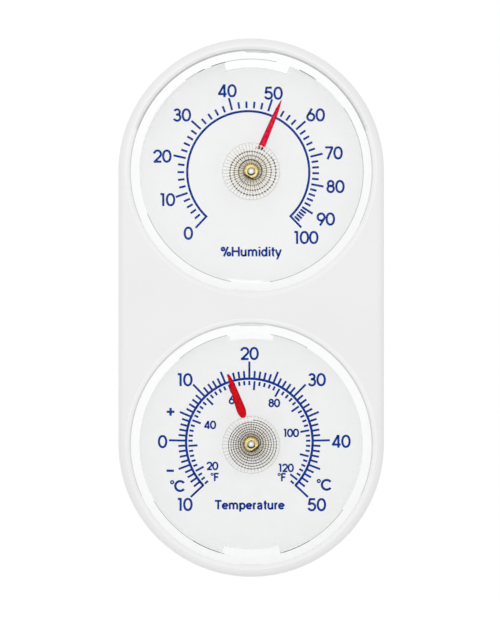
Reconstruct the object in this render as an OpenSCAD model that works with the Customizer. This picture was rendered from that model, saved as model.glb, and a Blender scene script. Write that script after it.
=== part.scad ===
// Dial thermo-hygrometer for a wall: a long white case with round ends, which holds a humidity dial
// above a temperature dial. The model is drawn face up, with x to the right, y up the wall and z
// out of the wall, and is then stood on the wall plane. Angles on a dial run clockwise from its top.

/* [Windows] */
// Radius of a clear window over its flange
window_r = 32.7; // [30:0.1:36]
// Width of the sloped shoulder between the flange and the flat face
shoulder_w = 2.4; // [2:0.1:3.5]
// Thickness of the flat clear face
window_t = 1.5; // [1.2:0.1:2]
// How far the flat face stands in front of the case
window_rise = 1.7; // [1.4:0.1:2.1]
// Height of the window's upright edge in front of the case
window_edge = 0.3; // [0.1:0.1:0.6]
// Thickness of the flange that lies in the case's recess
flange_t = 1.2; // [0.8:0.1:1.4]
// Width of the flange outside the skirt
flange_w = 1.2; // [1.1:0.1:2]
// Thickness of the skirt that reaches down to the dial
skirt_t = 1.2; // [1:0.1:1.8]
// Half angle of the wide snap tab
wide_tab_a = 17; // [12:1:24]
// Thickness of the wide snap tab, inwards from the skirt's outside
wide_tab_t = 3.0; // [2:0.1:3.5]
// Half angle of the narrow snap tab
narrow_tab_a = 10; // [6:1:14]
// Thickness of the narrow snap tab, inwards from the skirt's outside
narrow_tab_t = 2.5; // [1.9:0.1:3]
// How far a tab's hook reaches out past the skirt
hook_d = 0.8; // [0.5:0.05:1]
// Height of a hook
hook_h = 1.6; // [1.2:0.1:2]
// Height of a hook's lower edge above the dial
hook_lift = 1.1; // [0.8:0.1:1.5]
// Width of the notch that a blade prises a window out by
notch_w = 4; // [3:0.5:6]
// Depth of that notch
notch_d = 0.5; // [0.3:0.05:0.7]
// How far the humidity window is turned in its seat
upper_window_turn = 3; // [0:1:10]

/* [Fluted disc] */
// Radius of the fluted disc in the middle of a window
flute_r = 7.8; // [7.4:0.1:9]
// Radius at which the flutes begin
flute_start_r = 2.6; // [2.4:0.1:3.2]
// Number of flutes
flute_count = 48; // [36:1:56]
// Width of a flute
flute_w = 0.14; // [0.1:0.01:0.2]
// How far the flutes stand below the clear face
flute_d = 0.2; // [0.15:0.05:0.4]

/* [Case] */
// Distance between the centres of the two dials
dial_gap = 74; // [72:1:100]
// Width of the case's front beside a window's recess
border_w = 3.1; // [3.1:0.1:6]
// Radius of the case's rounded front edge
edge_r = 2; // [1.5:0.1:2]
// Thickness of the side wall
wall_t = 2.4; // [2.3:0.1:2.6]
// Thickness of the front between the two dials
front_t = 2; // [1.6:0.1:2.6]
// Width of the bevel round a window's recess
bevel_w = 1; // [0.5:0.1:1]
// Depth of that bevel
bevel_d = 0.5; // [0.3:0.1:0.8]
// Thickness of the wall round a well
well_wall = 1.2; // [1:0.1:1.5]
// Thickness of a well's floor
floor_t = 1.6; // [1.2:0.1:2.4]
// Depth of the space between the wells and the back cover
cavity_d = 7.6; // [6.8:0.1:14]
// Radius of the boss that carries a post behind its well
post_boss_r = 3.2; // [2.9:0.1:5]
// Height of that boss
post_boss_h = 1.4; // [1:0.1:2.4]

/* [Back cover] */
// Thickness of the back cover
cover_t = 2; // [1.6:0.1:2.6]
// Width of the ledge in the side wall that the cover lies on
ledge_w = 0.8; // [0.6:0.1:1]
// Height of the lip that centres the cover in the case
lip_h = 1.2; // [0.8:0.1:2]
// Thickness of that lip
lip_t = 0.9; // [0.7:0.1:1.4]
// Radius of the keyhole's round entry
keyhole_r = 4.5; // [4:0.1:5.5]
// Width of the keyhole's slot
keyhole_slot_w = 4.6; // [4.2:0.1:5.2]
// Distance from the round entry to the seat at the slot's end
keyhole_run = 7; // [6:0.5:8]
// Height of the keyhole's entry above the upper dial's centre
keyhole_up = 19; // [18:0.5:20]
// Number of air slots behind each dial
vent_count = 5; // [3:1:5]
// Length of an air slot
vent_len = 26; // [16:1:34]
// Width of an air slot
vent_w = 1.8; // [1.2:0.1:2.4]
// Distance between neighbouring air slots
vent_pitch = 4; // [3.4:0.1:4.4]

/* [Screws] */
// Distance of a cover screw from the middle line
screw_x = 20; // [16:0.5:21]
// Distance of a cover screw from its dial's centre, towards the end of the case
screw_y = 19; // [15:0.5:20]
// Radius of a screw's shank
screw_r = 1.1; // [0.9:0.05:1.3]
// Radius of a screw's head
screw_head_r = 2.4; // [2.1:0.1:2.7]
// Height of a screw's sloped head
screw_head_h = 1.3; // [1.1:0.1:1.5]
// Length of a screw
screw_len = 7; // [5:0.5:8]
// Radius of a screw boss
screw_boss_r = 3; // [2.6:0.1:3.6]

/* [Dials and posts] */
// Thickness of a dial plate
dial_t = 0.8; // [0.5:0.1:1.2]
// Radius of a post
post_r = 0.85; // [0.7:0.05:1]
// Radius of a post's collar
collar_r = 1.5; // [1.3:0.1:2]
// Thickness of a post's collar
collar_t = 0.4; // [0.3:0.1:0.6]
// Height of the room for the friction washer
washer_h = 0.3; // [0.25:0.05:0.5]
// Outer radius of the friction washer
washer_r = 2.2; // [1.8:0.1:2.4]
// Thickness of the washer's metal
washer_t = 0.12; // [0.1:0.01:0.15]
// Outer radius of the push-on clip behind a post
clip_r = 2.6; // [2.2:0.1:2.8]
// Thickness of the push-on clip
clip_t = 0.35; // [0.25:0.05:0.6]
// How far a post stands out behind its clip
post_tail = 0.6; // [0.3:0.1:1]

/* [Hubs] */
// Radius of a brass hub
hub_r = 2.25; // [2.1:0.05:2.4]
// Height of a brass hub
hub_h = 4; // [3.7:0.1:5]
// Size of the slope round a hub's front
hub_slope = 0.45; // [0.2:0.05:0.5]
// Number of grooves round a hub
groove_count = 20; // [14:1:24]
// Depth of a groove
groove_d = 0.2; // [0.1:0.02:0.24]
// Distance of the coil's slot from the hub's axis
slot_r = 1.68; // [1.5:0.01:1.72]
// How far a post's domed end stands in front of its hub
tip_h = 0.9; // [0.85:0.05:1.4]
// Room between a post's end and the window
tip_gap = 0.4; // [0.3:0.1:1]

/* [Coils] */
// Width of a coil's strip, along the post
strip_w = 2.4; // [1.8:0.1:2.8]
// Height of a coil above the foot of its hub
coil_lift = 0.5; // [0.3:0.1:0.8]
// Radius of the bend where a coil leaves its hub
coil_bend_r = 0.9; // [0.7:0.05:1.1]
// Outer radius of the humidity coil
humidity_coil_r = 6.8; // [6.4:0.1:7]
// Number of turns of the humidity coil
humidity_turns = 3.39; // [2.8:0.01:4]
// Thickness of the humidity coil's metal
humidity_strip_t = 0.15; // [0.1:0.01:0.2]
// Thickness of the layer on the humidity coil that swells with moisture
layer_t = 0.2; // [0.1:0.01:0.3]
// Angle on the dial at which the humidity coil ends
humidity_coil_end = 9; // [5:1:14]
// Outer radius of the temperature coil
temperature_coil_r = 6.95; // [6.6:0.05:7.1]
// Number of turns of the temperature coil
temperature_turns = 6.22; // [5.4:0.01:6.4]
// Thickness of the temperature coil's metal
temperature_strip_t = 0.2; // [0.15:0.01:0.22]
// Angle on the dial at which the temperature coil ends
temperature_coil_end = 2; // [0:1:8]
// How far a coil's outer turn lies to the right of the hub
coil_shift_x = 0.18; // [0:0.01:0.25]
// How far a coil's outer turn hangs below the hub
coil_shift_y = 0.32; // [0:0.01:0.4]

/* [Pointers] */
// Reading of the humidity pointer, as an angle on its dial
humidity_angle = 23; // [20:1:26]
// Distance of the humidity pointer's tip from the axis
humidity_tip_r = 21.1; // [19:0.1:24]
// Width of the humidity pointer at its root
humidity_root_w = 1.65; // [1:0.05:2.2]
// Distance of the bend in the humidity pointer's sides from the axis
humidity_bend_r = 17; // [12:0.1:18]
// Width of the humidity pointer at that bend
humidity_bend_w = 0.87; // [0.5:0.01:1]
// Width of the humidity pointer at its tip
humidity_tip_w = 0.12; // [0.1:0.02:0.4]
// Reading of the temperature pointer, as an angle on its dial
temperature_angle = -18; // [-22:1:-16]
// Distance of the temperature pointer's tip from the axis
temperature_tip_r = 20; // [18:0.1:23]
// Greatest width of the temperature pointer
temperature_belly_w = 2.1; // [1.5:0.05:2.3]
// Distance of that greatest width from the axis
temperature_belly_r = 9.8; // [9.4:0.1:11]
// Distance of the temperature pointer's round root from the axis
temperature_root_r = 7.45; // [7.4:0.05:8.2]
// Distance of the bend in the temperature pointer's sides from the axis
temperature_bend_r = 15.6; // [12:0.1:17]
// Width of the temperature pointer at that bend
temperature_bend_w = 1.43; // [0.8:0.01:1.5]
// Width of the temperature pointer at its tip
temperature_tip_w = 0.5; // [0.3:0.05:0.8]
// How far the temperature pointer leans about its tip from the line to its hub
temperature_lean = 1.8; // [0:0.1:2.5]
// Thickness of a pointer
pointer_t = 0.3; // [0.2:0.05:0.4]

/* [Clearances] */
// Gap round a window's flange, skirt and hooks
window_gap = 0.2; // [0.1:0.05:0.3]
// Gap round the back cover and its lip
cover_gap = 0.15; // [0.1:0.05:0.25]
// Running gap between a hub and its post
bore_gap = 0.03; // [0.02:0.01:0.06]
// Gap round a post where it passes through its dial and boss
post_gap = 0.04; // [0.02:0.01:0.08]
// Gap between parts that nearly touch, such as a pointer's foot and its coil
fine_gap = 0.03; // [0.02:0.01:0.05]
// Gap beside a strip in its hub's slot
slot_gap = 0.06; // [0.04:0.01:0.08]
// Gap round a screw in the cover
screw_gap = 0.1; // [0.05:0.05:0.2]

/* [Hidden] */
$fn = 96;

// Radii, from the window outwards and inwards
face_r = window_r - shoulder_w;
skirt_r = window_r - flange_w;
skirt_in_r = skirt_r - skirt_t;
recess_r = window_r + window_gap;
well_r = skirt_r + window_gap;
dial_r = well_r - window_gap;
case_r = recess_r + border_w;
inner_r = case_r - wall_t;
rebate_r = inner_r + ledge_w;
cover_r = rebate_r - cover_gap;

// Heights above the wall, built up from the back of the case to the front of the windows
floor_back_z = cover_t + cavity_d;
floor_z = floor_back_z + floor_t;
dial_z = floor_z + dial_t;
collar_z = dial_z + collar_t;
hub_z = collar_z + washer_h;
hub_top_z = hub_z + hub_h;
tip_z = hub_top_z + tip_h;
flute_z = tip_z + tip_gap;
window_in_z = flute_z + flute_d;
window_top_z = window_in_z + window_t;
front_z = window_top_z - window_rise;
recess_z = front_z - flange_t;
boss_back_z = floor_back_z - post_boss_h;
tail_z = boss_back_z - clip_t - post_tail;
coil_z = hub_z + coil_lift;
pointer_z = coil_z + strip_w + fine_gap;

// A cut runs past the face that it opens by this much
past = 1;

// Shape of a hub's slot and of the coil's end in it
slot_exit = sqrt(pow(hub_r, 2) - pow(slot_r, 2));
slot_end = 0.6 * slot_exit;
bend_a = atan2(slot_exit, slot_r - coil_bend_r);
spiral_start_r = coil_bend_r + norm([slot_exit, slot_r - coil_bend_r]);
bend_steps = 6;
steps_per_turn = 30;
layer_start = 15;
layer_stop = 40;
foot_t = 0.3;
foot_over = 7;

// The two windows are one moulding: the wide tab is at the top of the upper dial and, turned half
// way round, at the bottom of the lower one
window_turns = [[1, upper_window_turn], [-1, 180]];

// Places

module stand_on_wall() rotate([90, 0, 0]) children();

// The humidity dial is above the middle, the temperature dial below it
module at_dial(side) translate([0, side * dial_gap / 2, 0]) children();

// Turns what is drawn at the top of a dial to an angle on it
module at_angle(a) rotate([0, 0, -a]) children();

// Sweeps a profile of radius and height round the outline of the case
module round_ended() {
    for (side = [1, -1])
        at_dial(side) rotate([0, 0, side > 0 ? 0 : 180]) rotate_extrude(angle = 180) children();
    rotate([90, 0, 0]) linear_extrude(dial_gap, center = true) {
        children();
        mirror([1, 0]) children();
    }
}

// Sweeps a profile round the axis through an arc that is centred on the top of the dial
module arc_of(half_angle) rotate([0, 0, 90 - half_angle]) rotate_extrude(angle = 2 * half_angle) children();

module block(r0, r1, z0, z1) translate([r0, z0]) square([r1 - r0, z1 - z0]);

module disc(r, z0, z1) translate([0, 0, z0]) cylinder(r = r, h = z1 - z0);

module at_screws() for (x = [-1, 1]) for (y = [-1, 1])
    translate([x * screw_x, y * (dial_gap / 2 + screw_y), 0]) children();

// Case front

module case_profile() {
    block(0, case_r - edge_r, 0, front_z);
    block(0, case_r, 0, front_z - edge_r);
    translate([case_r - edge_r, front_z - edge_r]) intersection() {
        circle(edge_r);
        square(edge_r);
    }
}

module well_blank() {
    disc(well_r + well_wall, floor_back_z, front_z - front_t / 2);
    disc(post_boss_r, boss_back_z, floor_z);
}

// Opens the front for a window: the well, the recess for its flange and the bevel round that
module well_cut() {
    disc(well_r, floor_z, front_z + past);
    disc(recess_r, recess_z, front_z + past);
    translate([0, 0, front_z - bevel_d])
        cylinder(r1 = recess_r, r2 = recess_r + 2 * bevel_w, h = 2 * bevel_d);
    disc(post_r + post_gap, 0, floor_z + past);
}

module hook_pocket(half_angle) arc_of(half_angle + 1.5)
    block(well_r - past, well_r + well_wall + fine_gap,
        dial_z + hook_lift - window_gap, dial_z + hook_lift + hook_h + window_gap);

module front_case() color("whitesmoke") stand_on_wall() difference() {
    union() {
        difference() {
            round_ended() case_profile();
            round_ended() block(0, inner_r, cover_t, front_z - front_t);
            round_ended() block(0, rebate_r, -past, cover_t);
        }
        for (side = [1, -1]) at_dial(side) well_blank();
        at_screws() disc(screw_boss_r, cover_t, floor_back_z + floor_t / 2);
    }
    for (side = [1, -1]) at_dial(side) well_cut();
    for (turn = window_turns) at_dial(turn[0]) at_angle(turn[1]) {
        hook_pocket(wide_tab_a);
        at_angle(180) hook_pocket(narrow_tab_a);
    }
    at_screws() disc(screw_r + fine_gap, 0, floor_back_z);
}

// Back cover and screws

module keyhole() {
    disc(keyhole_r, -past, cover_t + past);
    translate([0, keyhole_run, 0]) disc(keyhole_slot_w / 2, -past, cover_t + past);
    translate([-keyhole_slot_w / 2, 0, -past]) cube([keyhole_slot_w, keyhole_run, cover_t + 2 * past]);
}

module air_slot() {
    run = vent_len - vent_w;
    for (x = [-run / 2, run / 2]) translate([x, 0, 0]) disc(vent_w / 2, -past, cover_t + past);
    translate([-run / 2, -vent_w / 2, -past]) cube([run, vent_w, cover_t + 2 * past]);
}

module screw_hole() {
    disc(screw_r + 2 * screw_gap, -past, cover_t + past);
    translate([0, 0, -screw_gap]) cylinder(
        r1 = screw_head_r + 2 * screw_gap, r2 = screw_r + 2 * screw_gap, h = screw_head_h + screw_gap);
}

module back_cover() color("gainsboro") stand_on_wall() difference() {
    union() {
        round_ended() block(0, cover_r, 0, cover_t);
        round_ended() block(inner_r - cover_gap - lip_t, inner_r - cover_gap, cover_t / 2, cover_t + lip_h);
    }
    at_dial(1) translate([0, keyhole_up, 0]) keyhole();
    for (side = [1, -1]) at_dial(side) for (i = [0 : vent_count - 1])
        translate([0, (i - (vent_count - 1) / 2) * vent_pitch, 0]) air_slot();
    at_screws() screw_hole();
}

module screw() difference() {
    rotate_extrude() polygon([
        [0, 0], [screw_head_r, 0], [screw_r, screw_head_h], [screw_r, screw_len - screw_r],
        [0, screw_len]
    ]);
    for (a = [0, 90]) rotate([0, 0, a]) translate([-screw_r, -0.25, -past]) cube([2 * screw_r, 0.5, past + 0.7]);
}

module case_screws() color("silver") stand_on_wall() at_screws() screw();

// Windows

module window_profile() polygon([
    [0, window_in_z], [0, window_top_z], [face_r, window_top_z], [window_r, front_z + window_edge],
    [window_r, recess_z], [skirt_r, recess_z], [skirt_r, dial_z], [skirt_in_r, dial_z],
    [skirt_in_r, window_in_z]
]);

// A thick stretch of the skirt, with the hook that snaps into the well's wall
module tab(half_angle, thickness) {
    hook_z = dial_z + hook_lift;
    mid_r = skirt_r - skirt_t / 2;
    arc_of(half_angle) polygon([
        [skirt_r - thickness, hook_z], [mid_r, hook_z], [skirt_r + hook_d, hook_z + hook_h / 2],
        [skirt_r + hook_d, hook_z + hook_h], [mid_r, hook_z + hook_h],
        [mid_r, window_in_z + window_t / 2], [skirt_r - thickness, window_in_z + window_t / 2]
    ]);
}

module pry_notch() translate([-notch_w / 2, window_r - notch_d, recess_z - past])
    cube([notch_w, notch_d + past, window_rise + flange_t + 2 * past]);

// Fine radial ribs and the ring that bounds them, on the inside of the clear face
module flutes() translate([0, 0, flute_z]) linear_extrude(flute_d + window_t / 3) {
    for (i = [0 : flute_count - 1]) rotate([0, 0, i * 360 / flute_count])
        translate([-flute_w / 2, flute_start_r]) square([flute_w, flute_r - flute_start_r - flute_w / 2]);
    difference() {
        circle(flute_r);
        circle(flute_r - flute_w);
    }
}

module window(side, turn) color("lightcyan", 0.35) stand_on_wall() at_dial(side) at_angle(turn) difference() {
    union() {
        rotate_extrude() window_profile();
        tab(wide_tab_a, wide_tab_t);
        at_angle(180) tab(narrow_tab_a, narrow_tab_t);
        flutes();
    }
    pry_notch();
    at_angle(180) pry_notch();
}

// Dials and what carries the hubs

module dial(side) color("white") stand_on_wall() at_dial(side) difference() {
    disc(dial_r, floor_z, dial_z);
    disc(post_r + post_gap, floor_z - past, dial_z + past);
}

module post(side) color("silver") stand_on_wall() at_dial(side) rotate_extrude() {
    block(0, post_r, tail_z, tip_z - post_r);
    block(0, collar_r, dial_z, collar_z);
    translate([0, tip_z - post_r]) intersection() {
        circle(post_r);
        square(post_r);
    }
}

// A push-on clip: a flat ring whose hole is slit into teeth that grip the post
module clip(side) color("dimgray") stand_on_wall() at_dial(side) difference() {
    disc(clip_r, boss_back_z - clip_t, boss_back_z);
    disc(post_r + fine_gap, boss_back_z - clip_t - past, boss_back_z + past);
    for (a = [0 : 60 : 300]) rotate([0, 0, a]) translate([-0.15, 0, boss_back_z - clip_t - past])
        cube([0.3, (post_r + clip_r) / 2, clip_t + 2 * past]);
}

// A dished washer that presses its hub forwards, so that the hub stays where it is turned to
module washer(side) color("goldenrod") stand_on_wall() at_dial(side) rotate_extrude() polygon([
    [post_r + bore_gap, hub_z - fine_gap - washer_t], [washer_r, collar_z + fine_gap],
    [washer_r, collar_z + fine_gap + washer_t], [post_r + bore_gap, hub_z - fine_gap]
]);

// Hubs

module hub_profile() polygon([
    [post_r + bore_gap, hub_z], [hub_r, hub_z], [hub_r, hub_top_z - hub_slope],
    [hub_r - hub_slope, hub_top_z], [post_r + bore_gap + hub_slope / 2, hub_top_z],
    [post_r + bore_gap, hub_top_z - hub_slope / 2]
]);

module groove() translate([0, hub_r - groove_d, hub_z - past]) linear_extrude(hub_h + 2 * past)
    polygon([[0, 0], [groove_d, 2 * groove_d], [-groove_d, 2 * groove_d]]);

module strip_slot(strip_t) translate([-hub_r - past, slot_r - strip_t / 2 - slot_gap, coil_z - slot_gap])
    cube([2 * (hub_r + past), strip_t + 2 * slot_gap, hub_h]);

module hub(side, coil) color("gold") stand_on_wall() at_dial(side) rotate([0, 0, coil_turn(coil)])
    difference() {
        rotate_extrude() hub_profile();
        for (i = [0 : groove_count - 1]) rotate([0, 0, (i + 0.5) * 360 / groove_count]) groove();
        strip_slot(coil[3]);
    }

// Coils: outer radius, number of turns, angle on the dial of the outer end, thickness

humidity_winding = [humidity_coil_r, humidity_turns, humidity_coil_end, humidity_strip_t];
temperature_winding = [temperature_coil_r, temperature_turns, temperature_coil_end, temperature_strip_t];
outer_shift = [coil_shift_x, -coil_shift_y];

// How far the whole coil is turned, hub slot and all, for its outer end to lie at its angle
function coil_turn(coil) = -coil[2] - bend_a - 360 * coil[1];

function turned(p, a) = [p.x * cos(a) - p.y * sin(a), p.x * sin(a) + p.y * cos(a)];

// Growth of the centre line's radius in one turn
function pitch_of(coil) = (coil[0] - coil[3] / 2 - spiral_start_r) / coil[1];

// Point of the centre line after winding through the angle a from where the bend ends
function spiral_point(coil, a) =
    let (r = spiral_start_r + pitch_of(coil) * a / 360)
    turned([0, r], bend_a + a + coil_turn(coil)) + outer_shift * a / (360 * coil[1]);

// Point of the bend between the slot and the spiral
function bend_point(coil, a) =
    turned([-slot_exit - coil_bend_r * sin(a), slot_r - coil_bend_r * (1 - cos(a))], coil_turn(coil));

// The centre line: a straight end in the hub's slot, a bend, then the spiral
function centre_line(coil) =
    let (steps = ceil(coil[1] * steps_per_turn))
    concat(
        [turned([slot_end, slot_r], coil_turn(coil))],
        [for (i = [0 : bend_steps - 1]) bend_point(coil, bend_a * i / bend_steps)],
        [for (i = [0 : steps]) spiral_point(coil, 360 * coil[1] * i / steps)]
    );

// Unit vector square to the line at its point i, which points away from the hub
function outward(line, i) =
    let (d = line[min(i + 1, len(line) - 1)] - line[max(i - 1, 0)])
    [d.y, -d.x] / norm(d);

// The line moved away from the hub by a distance
function beside(line, distance) = [for (i = [0 : len(line) - 1]) line[i] + outward(line, i) * distance];

function reversed(list) = [for (i = [len(list) - 1 : -1 : 0]) list[i]];

// Outline of a ribbon along the line, between two distances from it
module ribbon(line, inner, outer) polygon(concat(beside(line, inner), reversed(beside(line, outer))));

// Least gap between a coil's turns, from its centre line's points
function least_gap(coil) =
    let (line = centre_line(coil), apart = floor(steps_per_turn / 2))
    min([for (i = [0 : len(line) - 1]) for (j = [i + apart : 1 : len(line) - 1]) norm(line[i] - line[j])])
        - coil[3];

echo(str("Least gap of the humidity coil's metal to itself: ", least_gap(humidity_winding), " mm"));
echo(str("Least gap of the temperature coil to itself: ", least_gap(temperature_winding), " mm"));

module coil(side, winding) stand_on_wall() at_dial(side) translate([0, 0, coil_z]) linear_extrude(strip_w)
    ribbon(centre_line(winding), -winding[3] / 2, winding[3] / 2);

module humidity_coil() color("dimgray") coil(1, humidity_winding);

module temperature_coil() color("gray") coil(-1, temperature_winding);

// The part of the humidity coil's line that carries the swelling layer
function layer_line(line) =
    let (lead = 1 + bend_steps, step = 360 * humidity_turns / (len(line) - lead - 1))
    [for (i = [lead + ceil(layer_start / step) : len(line) - 1 - ceil(layer_stop / step)]) i];

module humidity_layer() color("cornsilk") stand_on_wall() at_dial(1) translate([0, 0, coil_z])
    linear_extrude(strip_w) let (line = centre_line(humidity_winding), run = layer_line(line)) polygon(concat(
        [for (i = run) line[i] + outward(line, i) * humidity_strip_t / 2],
        reversed([for (i = run) line[i] + outward(line, i) * (humidity_strip_t / 2 + layer_t)])
    ));

// Pointers

// The foot that holds a pointer to the outside of its coil's end, between two angles on the dial
module foot(coil, from, to) translate([outer_shift.x, outer_shift.y, 0]) at_angle((from + to) / 2)
    arc_of((to - from) / 2)
        block(coil[0] + fine_gap, coil[0] + fine_gap + foot_t, coil_z + fine_gap, pointer_z + pointer_t);

module blade(angle) at_angle(angle) translate([0, 0, pointer_z]) linear_extrude(pointer_t) children();

module hygrometer_pointer() color("crimson") stand_on_wall() at_dial(1) {
    foot(humidity_winding, humidity_coil_end, humidity_angle + foot_over);
    root_r = humidity_coil_r - coil_shift_y;
    blade(humidity_angle) polygon([
        [-humidity_root_w / 2, root_r], [humidity_root_w / 2, root_r],
        [humidity_bend_w / 2, humidity_bend_r], [humidity_tip_w / 2, humidity_tip_r],
        [-humidity_tip_w / 2, humidity_tip_r], [-humidity_bend_w / 2, humidity_bend_r]
    ]);
}

module thermometer_pointer() color("red") stand_on_wall() at_dial(-1) {
    foot(temperature_winding, temperature_angle - foot_over, temperature_coil_end + foot_over);
    root_w = temperature_belly_w * 0.7;
    // Discs along the blade, each with its distance from the axis and its width
    discs = [
        [temperature_root_r + root_w / 2, root_w], [temperature_belly_r, temperature_belly_w],
        [temperature_bend_r, temperature_bend_w], [temperature_tip_r - temperature_tip_w / 2, temperature_tip_w]
    ];
    blade(temperature_angle) translate([0, temperature_tip_r]) rotate([0, 0, temperature_lean])
        translate([0, -temperature_tip_r]) {
            for (i = [0 : len(discs) - 2]) hull() for (disc = [discs[i], discs[i + 1]])
                translate([0, disc[0]]) circle(d = disc[1], $fn = 32);
            translate([-root_w / 3, temperature_coil_r - coil_shift_y])
                square([2 * root_w / 3, temperature_root_r + root_w / 2 - temperature_coil_r + coil_shift_y]);
        }
}

front_case();
back_cover();
case_screws();
dial(1);  // hygrometer_dial
window(1, window_turns[0][1]);  // hygrometer_window
post(1);  // hygrometer_post
clip(1);  // hygrometer_clip
washer(1);  // hygrometer_washer
hub(1, humidity_winding);  // hygrometer_hub
humidity_coil();
humidity_layer();
hygrometer_pointer();
dial(-1);  // thermometer_dial
window(-1, window_turns[1][1]);  // thermometer_window
post(-1);  // thermometer_post
clip(-1);  // thermometer_clip
washer(-1);  // thermometer_washer
hub(-1, temperature_winding);  // thermometer_hub
temperature_coil();
thermometer_pointer();
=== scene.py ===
"""Dial thermo-hygrometer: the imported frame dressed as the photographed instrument.

A dial is worked out in its own millimetres, with x to the right, y up the wall and z out of the
wall, and its angles run clockwise from the top. A piece is then placed in the row frame in metres.
"""

from __future__ import annotations

import logging
import math
from abc import ABC, abstractmethod
from dataclasses import dataclass
from enum import Enum
from typing import Sequence, Union

import bmesh
import bpy
from mathutils import Matrix, Vector

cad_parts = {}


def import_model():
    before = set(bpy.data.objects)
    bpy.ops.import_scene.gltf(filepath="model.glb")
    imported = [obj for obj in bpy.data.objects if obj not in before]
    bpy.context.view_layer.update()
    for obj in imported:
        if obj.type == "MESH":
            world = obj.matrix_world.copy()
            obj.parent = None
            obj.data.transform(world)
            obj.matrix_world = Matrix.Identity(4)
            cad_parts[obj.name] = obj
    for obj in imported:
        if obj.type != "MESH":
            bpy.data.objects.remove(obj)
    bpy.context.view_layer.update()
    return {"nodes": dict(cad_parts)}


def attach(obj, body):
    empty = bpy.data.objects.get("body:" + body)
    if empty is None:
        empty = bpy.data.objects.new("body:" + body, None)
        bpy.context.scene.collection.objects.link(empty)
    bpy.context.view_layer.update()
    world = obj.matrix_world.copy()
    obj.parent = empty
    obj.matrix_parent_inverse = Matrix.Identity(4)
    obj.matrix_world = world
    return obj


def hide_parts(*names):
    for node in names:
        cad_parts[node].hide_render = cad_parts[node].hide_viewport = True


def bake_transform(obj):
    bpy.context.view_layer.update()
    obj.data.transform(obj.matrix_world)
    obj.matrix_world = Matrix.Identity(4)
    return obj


LOG = logging.getLogger("thermo_hygrometer")
MM = 0.001
WHITE = (1.0, 1.0, 1.0)

Material = bpy.types.Material
Shape = bmesh.types.BMesh
Socket = bpy.types.NodeSocket
Value = Union[float, str, tuple, Socket]
Span = tuple[float, float]
Triple = tuple[float, float, float]
Nodes = dict[str, bpy.types.Object]


class Side(Enum):
    """The two dials, each with the height of its centre above the middle, in millimetres."""

    HUMIDITY = 37.0
    TEMPERATURE = -37.0

    @property
    def word(self) -> str:
        """What the dial measures, as its coil's and joint's names say it."""
        return self.name.lower()

    @property
    def instrument(self) -> str:
        """The instrument's name, as its other nodes' names begin."""
        return "hygrometer" if self is Side.HUMIDITY else "thermometer"

    @property
    def centre(self) -> Triple:
        """Centre of the dial in the row frame, in metres."""
        return (0.0, 0.0, self.value * MM)

    @property
    def matrix(self) -> Matrix:
        """Places the dial's own millimetres in the row frame."""
        stand = Matrix.Rotation(math.pi / 2, 4, "X")
        return Matrix.Translation(self.centre) @ stand @ Matrix.Scale(MM, 4)


def clockwise(angle: float, radius: float) -> Vector:
    """Point of a dial at an angle in degrees clockwise from the top, and a radius."""
    a = math.radians(angle)
    return Vector((radius * math.sin(a), radius * math.cos(a), 0.0))


# ---------------------------------------------------------------------------------------------
# Finishes
# ---------------------------------------------------------------------------------------------


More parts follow.
